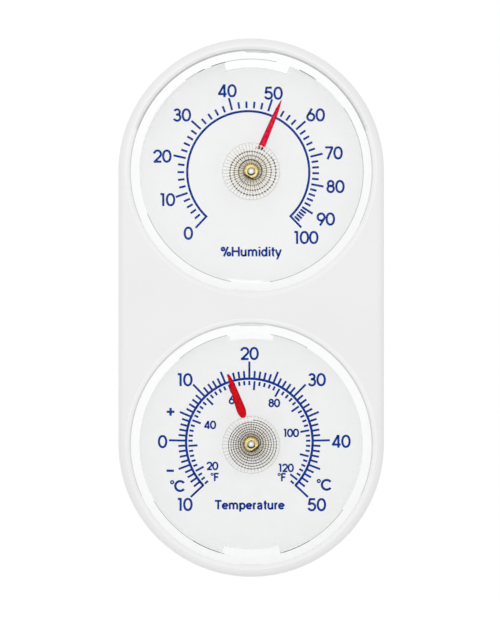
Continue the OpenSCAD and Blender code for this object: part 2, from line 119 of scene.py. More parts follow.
class ShaderSheet:
    """The node tree of a new material or world, with short calls that fill it."""

    # Noise is mostly between these two
    NOISE = (0.3, 0.7)

    def __init__(self, owner: Material | bpy.types.World) -> None:
        """Starts with an empty tree.

        Args:
            owner: the material or world.
        """
        owner.use_nodes = True
        self.owner = owner
        self.tree = owner.node_tree
        self.tree.nodes.clear()

    def node(self, kind: str, inputs: dict | None = None, **settings: Value) -> bpy.types.Node:
        """Adds a node.

        Args:
            kind: the node's type, without its first word.
            inputs: values or sockets for its inputs, by name or number.
            **settings: its properties.

        Returns:
            The new node.
        """
        node = self.tree.nodes.new(f"ShaderNode{kind}")
        for key, value in settings.items():
            setattr(node, key, value)
        for key, value in (inputs or {}).items():
            socket = node.inputs[key]
            if isinstance(value, Socket):
                self.tree.links.new(value, socket)
            else:
                whole = socket.type == "RGBA" and len(value) == 3
                socket.default_value = (*value, 1.0) if whole else value
        return node

    def add(
        self, kind: str, inputs: dict | None = None, out: int | str = 0, **settings: Value
    ) -> Socket:
        """Adds a node as node does, and returns one of its outputs."""
        return self.node(kind, inputs, **settings).outputs[out]

    def math(self, operation: str, *values: Value) -> Socket:
        """A sum on one, two or three numbers."""
        return self.add("Math", dict(enumerate(values)), operation=operation)

    def remap(
        self, value: Socket, start: float, end: float, low: float = 0.0, high: float = 1.0
    ) -> Socket:
        """A number from low to high while the value goes from start to end, and held beyond."""
        names = ("Value", "From Min", "From Max", "To Min", "To Max")
        return self.add("MapRange", dict(zip(names, (value, start, end, low, high))))

    def mix(self, fac: Socket, first: Value, second: Value) -> Socket:
        """A colour between two."""
        return self.add("Mix", {0: fac, 6: first, 7: second}, 2, data_type="RGBA")

    def blend(self, fac: Value, first: Socket, second: Socket) -> Socket:
        """A surface between two."""
        return self.add("MixShader", {0: fac, 1: first, 2: second})

    def place(self) -> Socket:
        """Object coordinates, in metres."""
        return self.add("TexCoord", out="Object")

    def about(self, centre: Triple) -> tuple[Socket, Socket, Socket]:
        """How far a point lies to the right of a dial's centre, above it, and away from it.

        Args:
            centre: the dial's centre, in metres.

        Returns:
            The three distances, in metres.
        """
        shift = tuple(-c for c in centre)
        local = self.add("Mapping", {"Vector": self.place(), "Location": shift})
        axes = self.node("SeparateXYZ", {0: local}).outputs
        return axes["X"], axes["Z"], self.reach(axes["X"], axes["Z"])

    def reach(self, x: Socket, y: Socket) -> Socket:
        """Distance of a point of a plane from its origin."""
        flat = self.add("CombineXYZ", {"X": x, "Y": y})
        return self.add("VectorMath", {0: flat}, "Value", operation="LENGTH")

    def noise(self, scale: float, detail: float = 2.0, stretch: Triple | None = None) -> Socket:
        """Noise on the piece's Object coordinates.

        Args:
            scale: spots per metre.
            detail: octaves.
            stretch: scale along each axis, for grain that runs one way.

        Returns:
            The noise's value, about 0.5.
        """
        place = self.place()
        if stretch is not None:
            place = self.add("Mapping", {"Vector": place, "Scale": stretch})
        return self.add("TexNoise", {"Vector": place, "Scale": scale, "Detail": detail}, "Fac")

    def between(self, noise: Socket, low: float, high: float) -> Socket:
        """A number that noise moves between low and high."""
        return self.remap(noise, *self.NOISE, low, high)

    def tint(self, noise: Socket, first: Triple, second: Triple) -> Socket:
        """A colour that noise moves between two.

        Args:
            noise: a noise's value.
            first: the colour where it is low.
            second: the colour where it is high.

        Returns:
            The colour.
        """
        ramp = self.node("ValToRGB", {"Fac": noise})
        for element, place, colour in zip(ramp.color_ramp.elements, self.NOISE, (first, second)):
            element.position = place
            element.color = (*colour, 1.0)
        return ramp.outputs["Color"]

    def bump(self, height: Socket, depth: float, strength: float = 1.0) -> Socket:
        """A normal from a height, with a depth in metres."""
        return self.add("Bump", {"Height": height, "Distance": depth, "Strength": strength})

    def light_rays(self) -> Socket:
        """1 for a ray that asks how much light reaches another surface, else 0."""
        path = self.node("LightPath").outputs
        return self.math("MAXIMUM", path["Is Shadow Ray"], path["Is Diffuse Ray"])

    def seen_rays(self) -> Socket:
        """1 for a ray from the camera, or one that a mirror or a window passes on, else 0.

        Returns:
            The number.
        """
        path = self.node("LightPath").outputs
        seen = self.math("MAXIMUM", path["Is Camera Ray"], path["Is Glossy Ray"])
        return self.math("MAXIMUM", seen, path["Is Transmission Ray"])

    def let_light_by(self, shader: Socket, share: Value) -> Socket:
        """Lets a share of the light that falls on a surface go past it, though it looks solid."""
        fac = self.math("MULTIPLY", self.light_rays(), share)
        return self.blend(fac, shader, self.add("BsdfTransparent"))


class Finish(ABC):
    """A finish of one kind of piece."""

    name: str

    @abstractmethod
    def surface(self, sheet: ShaderSheet) -> Socket:
        """Builds the surface on the sheet."""

    def material(self) -> Material:
        """Makes the material.

        Returns:
            The new material.
        """
        sheet = ShaderSheet(bpy.data.materials.new(self.name))
        sheet.node("OutputMaterial", {"Surface": self.surface(sheet)})
        return sheet.owner


@dataclass(frozen=True)
class Skin(Finish):
    """An opaque finish: a colour with faint clouds of another, and fine relief.

    Clouds and relief are noise's arguments, passed is the share of light that goes on past it,
    and without another colour the clouds are a hair darker.
    """

    name: str
    main: Triple
    other: Triple | None = None
    roughness: Span = (0.3, 0.42)
    depth: float = 0.000004
    passed: float = 0.0
    metallic: float = 0.0
    specular: float = 0.5
    ior: float = 1.5
    clouds: tuple = (45.0, 3.0)
    relief: tuple = (3500.0, 3.0)

    def surface(self, sheet: ShaderSheet) -> Socket:
        """Builds the surface on the sheet.

        Args:
            sheet: the material's sheet.

        Returns:
            The surface.
        """
        low, high = self.roughness
        rough = low if low == high else sheet.between(sheet.noise(*self.relief), low, high)
        inputs = {
            "Base Color": self.colour(sheet),
            "Roughness": rough,
            "Metallic": self.metallic,
            "Specular IOR Level": self.specular,
            "IOR": self.ior,
        }
        if self.depth:
            inputs["Normal"] = self.normal(sheet)
        shader = sheet.add("BsdfPrincipled", inputs)
        return sheet.let_light_by(shader, self.share(sheet)) if self.passed else shader

    def colour(self, sheet: ShaderSheet) -> Socket:
        """The colour with its clouds."""
        other = self.other or tuple(0.98 * c for c in self.main)
        return sheet.tint(sheet.noise(*self.clouds), other, self.main)

    def normal(self, sheet: ShaderSheet) -> Socket:
        """The fine relief."""
        return sheet.bump(sheet.noise(*self.relief), self.depth)

    def share(self, sheet: ShaderSheet) -> Value:
        """The share of light that goes on past it."""
        return self.passed


@dataclass(frozen=True)
class MouldedPlastic(Skin):
    """Moulded plastic, which lets light by only in front of a depth in metres."""

    passed_y: float = -0.012

    def share(self, sheet: ShaderSheet) -> Value:
        """The share of light that goes on past it."""
        deep = sheet.add("SeparateXYZ", {0: sheet.place()}, "Y")
        return sheet.math("MULTIPLY", sheet.math("LESS_THAN", deep, self.passed_y), self.passed)


@dataclass(frozen=True)
class SeatedPlastic(MouldedPlastic):
    """The case's plastic: a painted shadow in the gap round each window, and a painted highlight on
    the seat round that.

    The painted shadow is darkest and the painted highlight brightest along the top, over a span of
    heights on the dial.
    """

    # Radii, strengths from bottom to top, and span of heights of the painted shadow and the painted
    # highlight
    gap_r: Span = (0.0325, 0.03297)
    seat_r: float = 0.03405
    gap_shade: Span = (0.88, 0.70)
    seat_highlight_gain: Span = (1.06, 1.11)
    span: Span = (-0.030, 0.023)

    def colour(self, sheet: ShaderSheet) -> Socket:
        """The plastic's colour, with the painted shadow in the gaps and the painted highlight on
        the seats.

        Args:
            sheet: the material's sheet.

        Returns:
            The colour.
        """
        axes = sheet.node("SeparateXYZ", {0: sheet.place()}).outputs
        local = sheet.math("SUBTRACT", sheet.math("ABSOLUTE", axes["Z"]), Side.HUMIDITY.value * MM)
        radius = sheet.reach(axes["X"], local)
        up = sheet.math("MULTIPLY", local, sheet.math("SIGN", axes["Z"]))
        # Painted shadow in the gap and painted highlight on the seat, graded as light falls from
        # above
        shade = sheet.remap(up, *self.span, *self.gap_shade)
        gain = sheet.remap(up, *self.span, *self.seat_highlight_gain)
        plain = super().colour(sheet)
        seat = sheet.add("VectorMath", {0: plain, "Scale": gain}, operation="SCALE")
        gap = sheet.add("CombineXYZ", {"X": shade, "Y": shade, "Z": shade})
        colour = plain
        for edge, ring in ((self.seat_r, seat), (self.gap_r[1], gap), (self.gap_r[0], plain)):
            colour = sheet.mix(sheet.math("LESS_THAN", radius, edge), colour, ring)
        return colour


@dataclass(frozen=True)
class PrintingInk(Skin):
    """Screen ink: a dense colour with a faint mottle."""

    roughness: Span = (0.7, 0.7)
    specular: float = 0.08
    clouds: tuple = (2600.0, 3.0)
    relief: tuple = (2600.0, 3.0)


@dataclass(frozen=True)
class TurnedMetal(Skin):
    """Bare metal with fine turning or rolling marks."""

    depth: float = 0.000006
    metallic: float = 1.0
    clouds: tuple = (900.0, 3.0)
    relief: tuple = (5000.0, 2.0, (1.0, 6.0, 1.0))


@dataclass(frozen=True)
class SwellingCoat(Skin):
    """The matte, faintly fibrous coating that takes up moisture."""

    roughness: Span = (0.8, 0.8)
    depth: float = 0.00001
    passed: float = 0.97
    clouds: tuple = (4000.0, 4.0)
    relief: tuple = (4000.0, 4.0)


@dataclass(frozen=True)
class Enamel(Skin):
    """Glossy paint on a stamped pointer, with painted shade and then a painted highlight where its
    root is folded.
    """

    roughness: Span = (0.35, 0.35)
    passed: float = 0.92
    specular: float = 0.02
    clouds: tuple = (700.0, 2.0)
    relief: tuple = (2500.0, 2.0)
    centre: Triple = Side.HUMIDITY.centre
    # Painted shade on the fold, and a painted highlight on its bend
    fold: Triple = (0.12, 0.01, 0.01)
    bend_highlight: Triple = (0.92, 0.28, 0.28)
    fold_r: Span | None = None

    def colour(self, sheet: ShaderSheet) -> Socket:
        """The paint's colour, with painted shade out to the first fold radius and a painted
        highlight to the second.

        Args:
            sheet: the material's sheet.

        Returns:
            The colour.
        """
        colour = super().colour(sheet)
        if self.fold_r is None:
            return colour
        radius = sheet.about(self.centre)[2]
        for edge, shade in ((self.fold_r[1], self.bend_highlight), (self.fold_r[0], self.fold)):
            colour = sheet.mix(sheet.math("LESS_THAN", radius, edge), colour, shade)
        return colour


@dataclass(frozen=True)
class PaintedLightPlastic(Skin):
    """Painted light and shade on a clear moulding: a flat colour for the light its clear edges pipe
    and the dark lines they show; light goes on past it, and it may be seen through a little.
    """

    main: Triple = (0.985, 0.988, 0.99)
    roughness: Span = (0.12, 0.25)
    depth: float = 0.0
    passed: float = 0.97
    ior: float = 1.49
    clouds: tuple = (500.0, 3.0)
    relief: tuple = (500.0, 3.0)
    solid: float = 1.0

    def surface(self, sheet: ShaderSheet) -> Socket:
        """Builds the surface on the sheet.

        Args:
            sheet: the material's sheet.

        Returns:
            The surface.
        """
        lit = super().surface(sheet)
        if self.solid == 1.0:
            return lit
        return sheet.blend(self.solid, sheet.add("BsdfTransparent"), lit)


@dataclass(frozen=True)
class KnurledBrass(Skin):
    """Turned brass: a bright face, a knurl dark with dirt and with painted shade, painted shade in
    a slot, and a painted shadow below the bore's edge.
    """

    main: Triple = (0.84, 0.74, 0.42)
    other: Triple = (0.54, 0.42, 0.14)
    roughness: Span = (0.22, 0.4)
    depth: float = 0.000008
    passed: float = 0.5
    metallic: float = 1.0
    clouds: tuple = (1500.0, 3.0)
    relief: tuple = (1500.0, 3.0)
    centre: Triple = Side.HUMIDITY.centre
    turned: float = 0.0
    dark: Triple = (0.10, 0.08, 0.02)
    speckle: tuple = (5200.0, 2.0)
    speckle_shade: Span = (0.0, 0.45)
    grooves: float = 20.0
    groove_wave: Span = (0.1, -0.6)
    groove_r: Span = (0.0014, 0.0019)
    # Painted shade: the knurl grows darker from top to bottom over these heights
    groove_up: Span = (0.0015, -0.0018)
    groove_shade: Span = (0.45, 1.0)
    # Painted shade along the coil's slot
    slot_r: float = 0.00168
    slot_w: float = 0.00048
    slot_shade: float = 0.85
    # Painted shadow under the bore's edge, round the pin
    bore_r: Span = (0.00126, 0.00118)
    bore_up: Span = (-0.0002, -0.0006)
    rings: float = 42000.0
    ring_strength: float = 0.6

    def colour(self, sheet: ShaderSheet) -> Socket:
        """The brass, dark with dirt and painted shade where it is cut, and with painted shade in
        the slot and under the bore's edge.

        Args:
            sheet: the material's sheet.

        Returns:
            The colour.
        """
        right, up, radius = sheet.about(self.centre)
        angle = sheet.math("ADD", sheet.math("ARCTAN2", right, up), self.turned)
        wave = sheet.math("COSINE", sheet.math("MULTIPLY", angle, self.grooves))
        spots = sheet.between(sheet.noise(*self.speckle), *self.speckle_shade)
        cut = sheet.math("MAXIMUM", sheet.remap(wave, *self.groove_wave), spots)
        rim = sheet.math("MULTIPLY", sheet.remap(radius, *self.groove_r), cut)
        # Painted shade: the knurl is lighter along the top and darker below, as light falls from
        # above
        knurl = sheet.math("MULTIPLY", rim, sheet.remap(up, *self.groove_up, *self.groove_shade))
        # Painted shadow on the lower side of the bore's edge
        edge = sheet.remap(radius, *self.bore_r)
        bore = sheet.math("MULTIPLY", edge, sheet.remap(up, *self.bore_up))
        # Painted shade along the coil's slot
        reach = sheet.math("MULTIPLY", sheet.math("COSINE", angle), radius)
        inside = sheet.math("COMPARE", reach, self.slot_r, self.slot_w / 2)
        slot = sheet.math("MULTIPLY", inside, self.slot_shade)
        shade = sheet.math("MAXIMUM", sheet.math("MAXIMUM", knurl, bore), slot)
        return sheet.mix(shade, super().colour(sheet), self.dark)

    def normal(self, sheet: ShaderSheet) -> Socket:
        """The rings that turning leaves.

        Args:
            sheet: the material's sheet.

        Returns:
            The normal.
        """
        radius = sheet.about(self.centre)[2]
        height = sheet.math("SINE", sheet.math("MULTIPLY", radius, self.rings))
        return sheet.bump(height, self.depth, self.ring_strength)


@dataclass(frozen=True)
class ClearPlastic(Finish):
    """Clear moulded plastic: it is seen through, and mirrors more at a slant."""

    name: str
    tint: Triple = (0.99, 0.992, 0.992)
    gain: float = 0.99
    haze: float = 300.0
    gloss_ior: float = 1.17
    gloss_rough: float = 0.03

    def surface(self, sheet: ShaderSheet) -> Socket:
        """Builds the surface on the sheet.

        Args:
            sheet: the material's sheet.

        Returns:
            The surface.
        """
        through = sheet.add("BsdfTransparent", {"Color": self.colour(sheet)})
        gloss = sheet.add("BsdfGlossy", {"Color": WHITE, "Roughness": self.gloss_rough})
        mirror = sheet.add("Fresnel", {"IOR": self.gloss_ior})
        front = sheet.math("SUBTRACT", 1.0, sheet.add("NewGeometry", out="Backfacing"))
        return sheet.blend(sheet.math("MULTIPLY", mirror, front), through, gloss)

    def colour(self, sheet: ShaderSheet) -> Socket:
        """The colour it is seen through in."""
        other = tuple(min(1.0, self.gain * c) for c in self.tint)
        return sheet.tint(sheet.noise(self.haze), self.tint, other)


@dataclass(frozen=True)
class FlutedPlastic(ClearPlastic):
    """A clear rib, painted grey for the shade it refracts, with a painted reflection of the hub
    near it; it keeps no light from the dial.
    """

    tint: Triple = (0.80, 0.79, 0.76)
    gain: float = 1.08
    haze: float = 1200.0
    centre: Triple = Side.HUMIDITY.centre
    near: Triple = WHITE
    near_r: float = 0.0032
    far_r: float = 0.0058

    def colour(self, sheet: ShaderSheet) -> Socket:
        """The colour it is seen through in, with the hub's painted reflection near the hub, and
        white for light on its way.

        Args:
            sheet: the material's sheet.

        Returns:
            The colour.
        """
        radius = sheet.about(self.centre)[2]
        fade = sheet.remap(radius, self.near_r, self.far_r)
        seen = sheet.mix(fade, self.near, super().colour(sheet))
        return sheet.mix(sheet.light_rays(), seen, WHITE)


class Finishes:
    """Every finish of the instrument, made once."""

    # Radii of the painted shade and the painted highlight at the humidity pointer's root
    FOLD_R = (0.0071, 0.0075)
    FOOT_ROUGHNESS = (0.3, 0.5)
    # Painted reflection of the hub's dark side and of its pale side, in the ribs near the hub
    RIB_HUB_REFLECTIONS = {
        Side.HUMIDITY: {"dark": (0.24, 0.16, 0.03), "pale": (0.90, 0.76, 0.34)},
        Side.TEMPERATURE: {"dark": (0.16, 0.10, 0.02), "pale": (0.76, 0.62, 0.28)},
    }

    def __init__(self) -> None:
        """Makes the materials."""
        # The case's plastic carries the painted shadow round each window and the painted highlight
        # on its seat
        self.case = SeatedPlastic(
            "white_case_plastic", (0.845, 0.842, 0.846), (0.825, 0.822, 0.826), passed=0.85
        ).material()
        self.cover = MouldedPlastic(
            "white_cover_plastic", (0.80, 0.80, 0.80), (0.78, 0.78, 0.785), (0.45, 0.6), 0.00001
        ).material()
        self.dial = MouldedPlastic(
            "dial_plate_white", (0.935, 0.932, 0.934), (0.92, 0.917, 0.919), (0.5, 0.6), 0.000003
        ).material()
        self.ink = PrintingInk("navy_ink", (0.0005, 0.031, 0.255), (0.001, 0.042, 0.315)).material()
        self.spring_brass = TurnedMetal(
            "spring_brass", (0.72, 0.55, 0.26), (0.6, 0.43, 0.18), (0.3, 0.45), passed=0.9
        ).material()
        self.steel = TurnedMetal(
            "turned_steel", (0.95, 0.95, 0.96), (0.84, 0.84, 0.86), (0.15, 0.3),
            passed=0.95, metallic=0.55,
        ).material()
        self.clip_steel = TurnedMetal(
            "clip_steel", (0.5, 0.5, 0.52), (0.38, 0.38, 0.4), (0.3, 0.45)
        ).material()
        self.screw_steel = TurnedMetal(
            "screw_steel", (0.72, 0.72, 0.7), (0.6, 0.6, 0.58), (0.25, 0.4)
        ).material()
        self.strip = TurnedMetal(
            "rolled_strip", (0.86, 0.80, 0.68), (0.74, 0.67, 0.52), (0.25, 0.4), passed=0.97
        ).material()
        # Painted shade: the strip's front and back edges are dark for the shade between the coil's
        # turns
        self.strip_edge = TurnedMetal(
            "shaded_strip_edge", (0.10, 0.085, 0.055), (0.03, 0.025, 0.015), (0.4, 0.6), passed=0.95
        ).material()
        self.coat = SwellingCoat("swelling_coat", (0.90, 0.86, 0.74), (0.80, 0.74, 0.58)).material()
        # Painted shade: the coat's front and back edges are dark for the shade between the coil's
        # turns
        self.coat_edge = SwellingCoat(
            "shaded_coat_edge", (0.36, 0.30, 0.16), (0.18, 0.15, 0.07)
        ).material()
        self.clear = ClearPlastic("clear_plastic").material()
        # Painted light: the window's shoulder, flange and tabs are white for the light the clear
        # plastic pipes
        self.piped_light_white = PaintedLightPlastic("bright_edge").material()
        # Painted shade: the grey line round the edge of each window's face
        self.fine_line = PaintedLightPlastic("fine_edge_line", (0.54, 0.55, 0.56)).material()
        # Painted shade where relief slots free the wide tab; the slots themselves are not built
        self.dark_line = PaintedLightPlastic(
            "relief_slot_shade_line", (0.20, 0.20, 0.21), passed=0.0
        ).material()
        # Painted shade on the rim's upright side along the top of each window
        self.rim_line = PaintedLightPlastic("rim_edge_line", (0.35, 0.355, 0.36), passed=0.3).material()
        fold, rough = self.FOLD_R, self.FOOT_ROUGHNESS
        # Each enamel has a darker copy for the blade's pressed-down edges: painted shade
        crimson = (
            Enamel("crimson_enamel", (0.80, 0.001, 0.032), (0.66, 0.001, 0.026), fold_r=fold),
            Enamel("crimson_enamel_shaded_edge", (0.54, 0.003, 0.04), (0.42, 0.002, 0.03), fold_r=fold),
        )
        red = (
            Enamel("red_enamel", (0.74, 0.001, 0.004), (0.58, 0.001, 0.008)),
            Enamel("red_enamel_shaded_edge", (0.46, 0.001, 0.016), (0.34, 0.001, 0.014)),
        )
        self.enamel = {Side.HUMIDITY: self.all_of(*crimson), Side.TEMPERATURE: self.all_of(*red)}
        self.foot = self.each_side(
            TurnedMetal("bare_foot", (0.60, 0.50, 0.45), (0.50, 0.40, 0.36), rough, passed=1.0),
            TurnedMetal("pale_foot", (0.93, 0.86, 0.84), (0.88, 0.78, 0.77), rough, passed=1.0),
        )
        # Painted highlight: the bright wedges between the flutes
        self.flank = self.each_side(
            PaintedLightPlastic("bright_rib_side", (0.93, 0.925, 0.90), passed=0.99, solid=0.42),
            PaintedLightPlastic("faint_rib_side", (0.92, 0.915, 0.90), passed=0.99, solid=0.2),
        )
        self.flutes = {side: self.all_of(*self.ribs(side)) for side in Side}

    def all_of(self, *finishes: Finish) -> list[Material]:
        """The materials of several finishes."""
        return [finish.material() for finish in finishes]

    def each_side(self, upper: Finish, lower: Finish) -> dict[Side, Material]:
        """The materials of a finish that differs between the dials."""
        return {Side.HUMIDITY: upper.material(), Side.TEMPERATURE: lower.material()}

    def ribs(self, side: Side) -> list[Finish]:
        """The finishes of a window's ribs in turn: painted reflections of the hub's dark side, and
        of its pale one.

        Args:
            side: the window's dial.

        Returns:
            The two finishes, in that order.
        """
        return [
            FlutedPlastic(f"{side.word}_ribs_over_{shade}", centre=side.centre, near=near)
            for shade, near in self.RIB_HUB_REFLECTIONS[side].items()
        ]


# ---------------------------------------------------------------------------------------------
# Making pieces
# ---------------------------------------------------------------------------------------------


@dataclass
class Piece:
    """A mesh on its way to becoming a piece of the instrument."""

    name: str
    shape: Shape
    materials: Sequence[Material]

    def place(self, matrix: Matrix, smooth_under: float | None = None) -> bpy.types.Object:
        """Places the mesh in the row frame and links its object.

        Args:
            matrix: from the mesh's own units to the row frame.
            smooth_under: angle in degrees below which an edge is shaded smooth, or None for flat.

        Returns:
            The object, at the origin.
        """
        bmesh.ops.transform(self.shape, matrix=matrix, verts=self.shape.verts)
        if smooth_under is not None:
            for face in self.shape.faces:
                face.smooth = True
            for edge in self.shape.edges:
                edge.smooth = edge.calc_face_angle(0.0) < math.radians(smooth_under)
        mesh = bpy.data.meshes.new(self.name)
        self.shape.to_mesh(mesh)
        self.shape.free()
        for material in self.materials:
            mesh.materials.append(material)
        piece = bpy.data.objects.new(self.name, mesh)
        bpy.context.scene.collection.objects.link(piece)
        LOG.info("made %s with %d faces", self.name, len(mesh.polygons))
        return piece


def lathe(
    shape: Shape,
    profile: Sequence[Span],
    steps: int,
    start: float = 0.0,
    turn: float = 360.0,
    closed: bool = False,
) -> list[bmesh.types.BMFace]:
    """Spins a profile of radius and height about the dial's axis.

    Args:
        shape: the mesh to add to.
        profile: the corners.
        steps: steps round the turn.
        start: first angle, clockwise from the top.
        turn: how far it is spun, clockwise.
        closed: whether the last corner joins the first.

    Returns:
        The new faces.
    """
    before = set(shape.faces)
    corners = [shape.verts.new(clockwise(start, r) + Vector((0, 0, z))) for r, z in profile]
    pairs = list(zip(corners, corners[1:])) + ([(corners[-1], corners[0])] if closed else [])
    edges = [shape.edges.new(pair) for pair in pairs]
    bmesh.ops.spin(
        shape, geom=corners + edges, cent=(0, 0, 0), axis=(0, 0, -1),
        angle=math.radians(turn), steps=steps, use_merge=abs(turn) >= 360.0,
    )
    return [face for face in shape.faces if face not in before]


def add_sector(
    shape: Shape,
    profile: Sequence[Span],
    steps: int,
    ends: Span,
    material: int,
    shift: Span = (0.0, 0.0),
) -> None:
    """Adds a closed block that is spun through part of a turn.

    Args:
        shape: the mesh to add to.
        profile: the block's corners, as radius and height.
        steps: steps round the turn.
        ends: first and last angle, clockwise from the top.
        material: index of its material.
        shift: how far it is moved to the right and up.
    """
    block = bmesh.new()
    lathe(block, profile, steps, ends[0], ends[1] - ends[0], closed=True)
    bmesh.ops.holes_fill(block, edges=[edge for edge in block.edges if edge.is_boundary], sides=0)
    bmesh.ops.recalc_face_normals(block, faces=block.faces)
    bmesh.ops.translate(block, verts=block.verts, vec=(*shift, 0.0))
    for face in block.faces:
        face.material_index = material
    joined = bpy.data.meshes.new("block")
    block.to_mesh(joined)
    block.free()
    shape.from_mesh(joined)
    bpy.data.meshes.remove(joined)


def extrude(shape: Shape) -> list[bmesh.types.BMVert]:
    """Extrudes every face, keeps the old ones too, and returns the new points."""
    grown = bmesh.ops.extrude_face_region(shape, geom=list(shape.faces), use_keep_orig=True)
    return [item for item in grown["geom"] if isinstance(item, bmesh.types.BMVert)]


# ---------------------------------------------------------------------------------------------
# Printing
# ---------------------------------------------------------------------------------------------


@dataclass(frozen=True)
class Bar:
    """A straight stroke between two points."""

    x0: float
    y0: float
    x1: float
    y1: float


@dataclass(frozen=True)
class Arc:
    """A round stroke, between two angles in degrees anticlockwise from the right."""

    x: float
    y: float
    r: float
    start: float
    end: float


Stroke = Union[Bar, Arc]


@dataclass(frozen=True)
class Glyph:
    """A character: its width, and its strokes in units of the capitals' height."""

    width: float
    strokes: tuple[Stroke, ...]


def oval(
    x: float, y: float, half_width: float, half_height: float, tip_r: float
) -> tuple[Arc, ...]:
    """An upright oval of four arcs.

    Args:
        x: centre.
        y: centre.
        half_width: half its width.
        half_height: half its height.
        tip_r: radius of its top and bottom.

    Returns:
        The arcs.
    """
    rise = half_height - tip_r
    side_r = (tip_r**2 - half_width**2 - rise**2) / (2 * (tip_r - half_width))
    bend = math.degrees(math.atan2(rise, side_r - half_width))
    inset = side_r - half_width
    return (
        Arc(x - inset, y, side_r, -bend, bend),
        Arc(x, y + rise, tip_r, bend, 180 - bend),
        Arc(x + inset, y, side_r, 180 - bend, 180 + bend),
        Arc(x, y - rise, tip_r, 180 + bend, 360 - bend),
    )


GLYPHS: dict[str, Glyph] = {
    "0": Glyph(0.73, oval(0.365, 0.5, 0.285, 0.43, 0.235)),
    "1": Glyph(0.46, (Bar(0.04, 0.93, 0.26, 0.93), Bar(0.26, 0.0, 0.26, 1.0))),
    "2": Glyph(0.70, (
        Arc(0.34, 0.665, 0.265, -46, 172), Bar(0.535, 0.485, 0.09, 0.04),
        Bar(0.04, 0.07, 0.64, 0.07),
    )),
    "3": Glyph(0.69, (
        Arc(0.335, 0.725, 0.205, -90, 158), Arc(0.335, 0.305, 0.25, -158, 92),
        Bar(0.25, 0.53, 0.35, 0.53),
    )),
    "4": Glyph(0.74, (
        Bar(0.52, 0.0, 0.52, 1.0), Bar(0.50, 0.97, 0.07, 0.21), Bar(0.03, 0.245, 0.69, 0.245),
    )),
    "5": Glyph(0.72, (
        Bar(0.19, 0.93, 0.60, 0.93), Bar(0.20, 0.99, 0.115, 0.47),
        Arc(0.335, 0.335, 0.265, -162, 143),
    )),
    "6": Glyph(0.72, (Arc(0.35, 0.34, 0.27, 0, 360), Bar(0.13, 0.50, 0.44, 1.0))),
    "7": Glyph(0.66, (Bar(0.03, 0.93, 0.62, 0.93), Bar(0.595, 0.95, 0.21, 0.0))),
    "8": Glyph(0.70, (Arc(0.345, 0.725, 0.205, 0, 360), Arc(0.345, 0.315, 0.245, 0, 360))),
    "9": Glyph(0.72, (Arc(0.37, 0.66, 0.27, 0, 360), Bar(0.59, 0.50, 0.28, 0.0))),
    "+": Glyph(0.74, (Bar(0.05, 0.5, 0.69, 0.5), Bar(0.37, 0.18, 0.37, 0.82))),
    "-": Glyph(0.74, (Bar(0.05, 0.5, 0.69, 0.5),)),
    "o": Glyph(0.42, (Arc(0.17, 0.84, 0.125, 0, 360),)),
    "C": Glyph(0.90, (Arc(0.46, 0.5, 0.43, 38, 322),)),
    "F": Glyph(0.56, (
        Bar(0.08, 0.0, 0.08, 1.0), Bar(0.08, 0.93, 0.56, 0.93), Bar(0.08, 0.51, 0.50, 0.51),
    )),
    "%": Glyph(1.10, (
        Arc(0.23, 0.76, 0.15, 0, 360), Arc(0.85, 0.24, 0.15, 0, 360), Bar(0.76, 1.0, 0.32, 0.0),
    )),
    "H": Glyph(0.94, (
        Bar(0.14, 0.0, 0.14, 1.0), Bar(0.80, 0.0, 0.80, 1.0), Bar(0.14, 0.53, 0.80, 0.53),
    )),
    "u": Glyph(0.76, (
        Bar(0.14, 0.72, 0.14, 0.30), Arc(0.36, 0.29, 0.22, 180, 360), Bar(0.58, 0.0, 0.58, 0.72),
    )),
    "m": Glyph(1.14, (
        Bar(0.14, 0.0, 0.14, 0.72), Arc(0.345, 0.45, 0.205, 0, 180), Bar(0.55, 0.46, 0.55, 0.0),
        Arc(0.755, 0.45, 0.205, 0, 180), Bar(0.96, 0.46, 0.96, 0.0),
    )),
    "i": Glyph(0.30, (Bar(0.14, 0.0, 0.14, 0.72), Bar(0.14, 0.86, 0.14, 1.0))),
    "d": Glyph(0.76, (*oval(0.34, 0.36, 0.24, 0.29, 0.21), Bar(0.58, 0.0, 0.58, 1.0))),
    "t": Glyph(0.42, (
        Bar(0.20, 0.95, 0.20, 0.18), Arc(0.32, 0.19, 0.12, 180, 275),
        Bar(0.04, 0.66, 0.38, 0.66),
    )),
    "y": Glyph(0.68, (
        Bar(0.07, 0.72, 0.34, 0.02), Bar(0.62, 0.72, 0.30, -0.14),
        Arc(0.175, -0.11, 0.12, -100, -20),
    )),
    "T": Glyph(0.80, (Bar(0.03, 0.93, 0.77, 0.93), Bar(0.40, 0.0, 0.40, 0.93))),
    "e": Glyph(0.74, (Arc(0.36, 0.36, 0.265, 0, 320), Bar(0.10, 0.37, 0.63, 0.37))),
    "p": Glyph(0.78, (*oval(0.40, 0.36, 0.24, 0.29, 0.21), Bar(0.15, -0.24, 0.15, 0.72))),
    "r": Glyph(0.46, (Bar(0.14, 0.0, 0.14, 0.72), Arc(0.36, 0.43, 0.22, 85, 180))),
    "a": Glyph(0.74, (
        Arc(0.335, 0.46, 0.205, 10, 165), Bar(0.54, 0.48, 0.54, 0.10),
        Arc(0.30, 0.215, 0.15, 90, 330), Bar(0.30, 0.365, 0.54, 0.40),
        Arc(0.62, 0.12, 0.08, 180, 260),
    )),
}


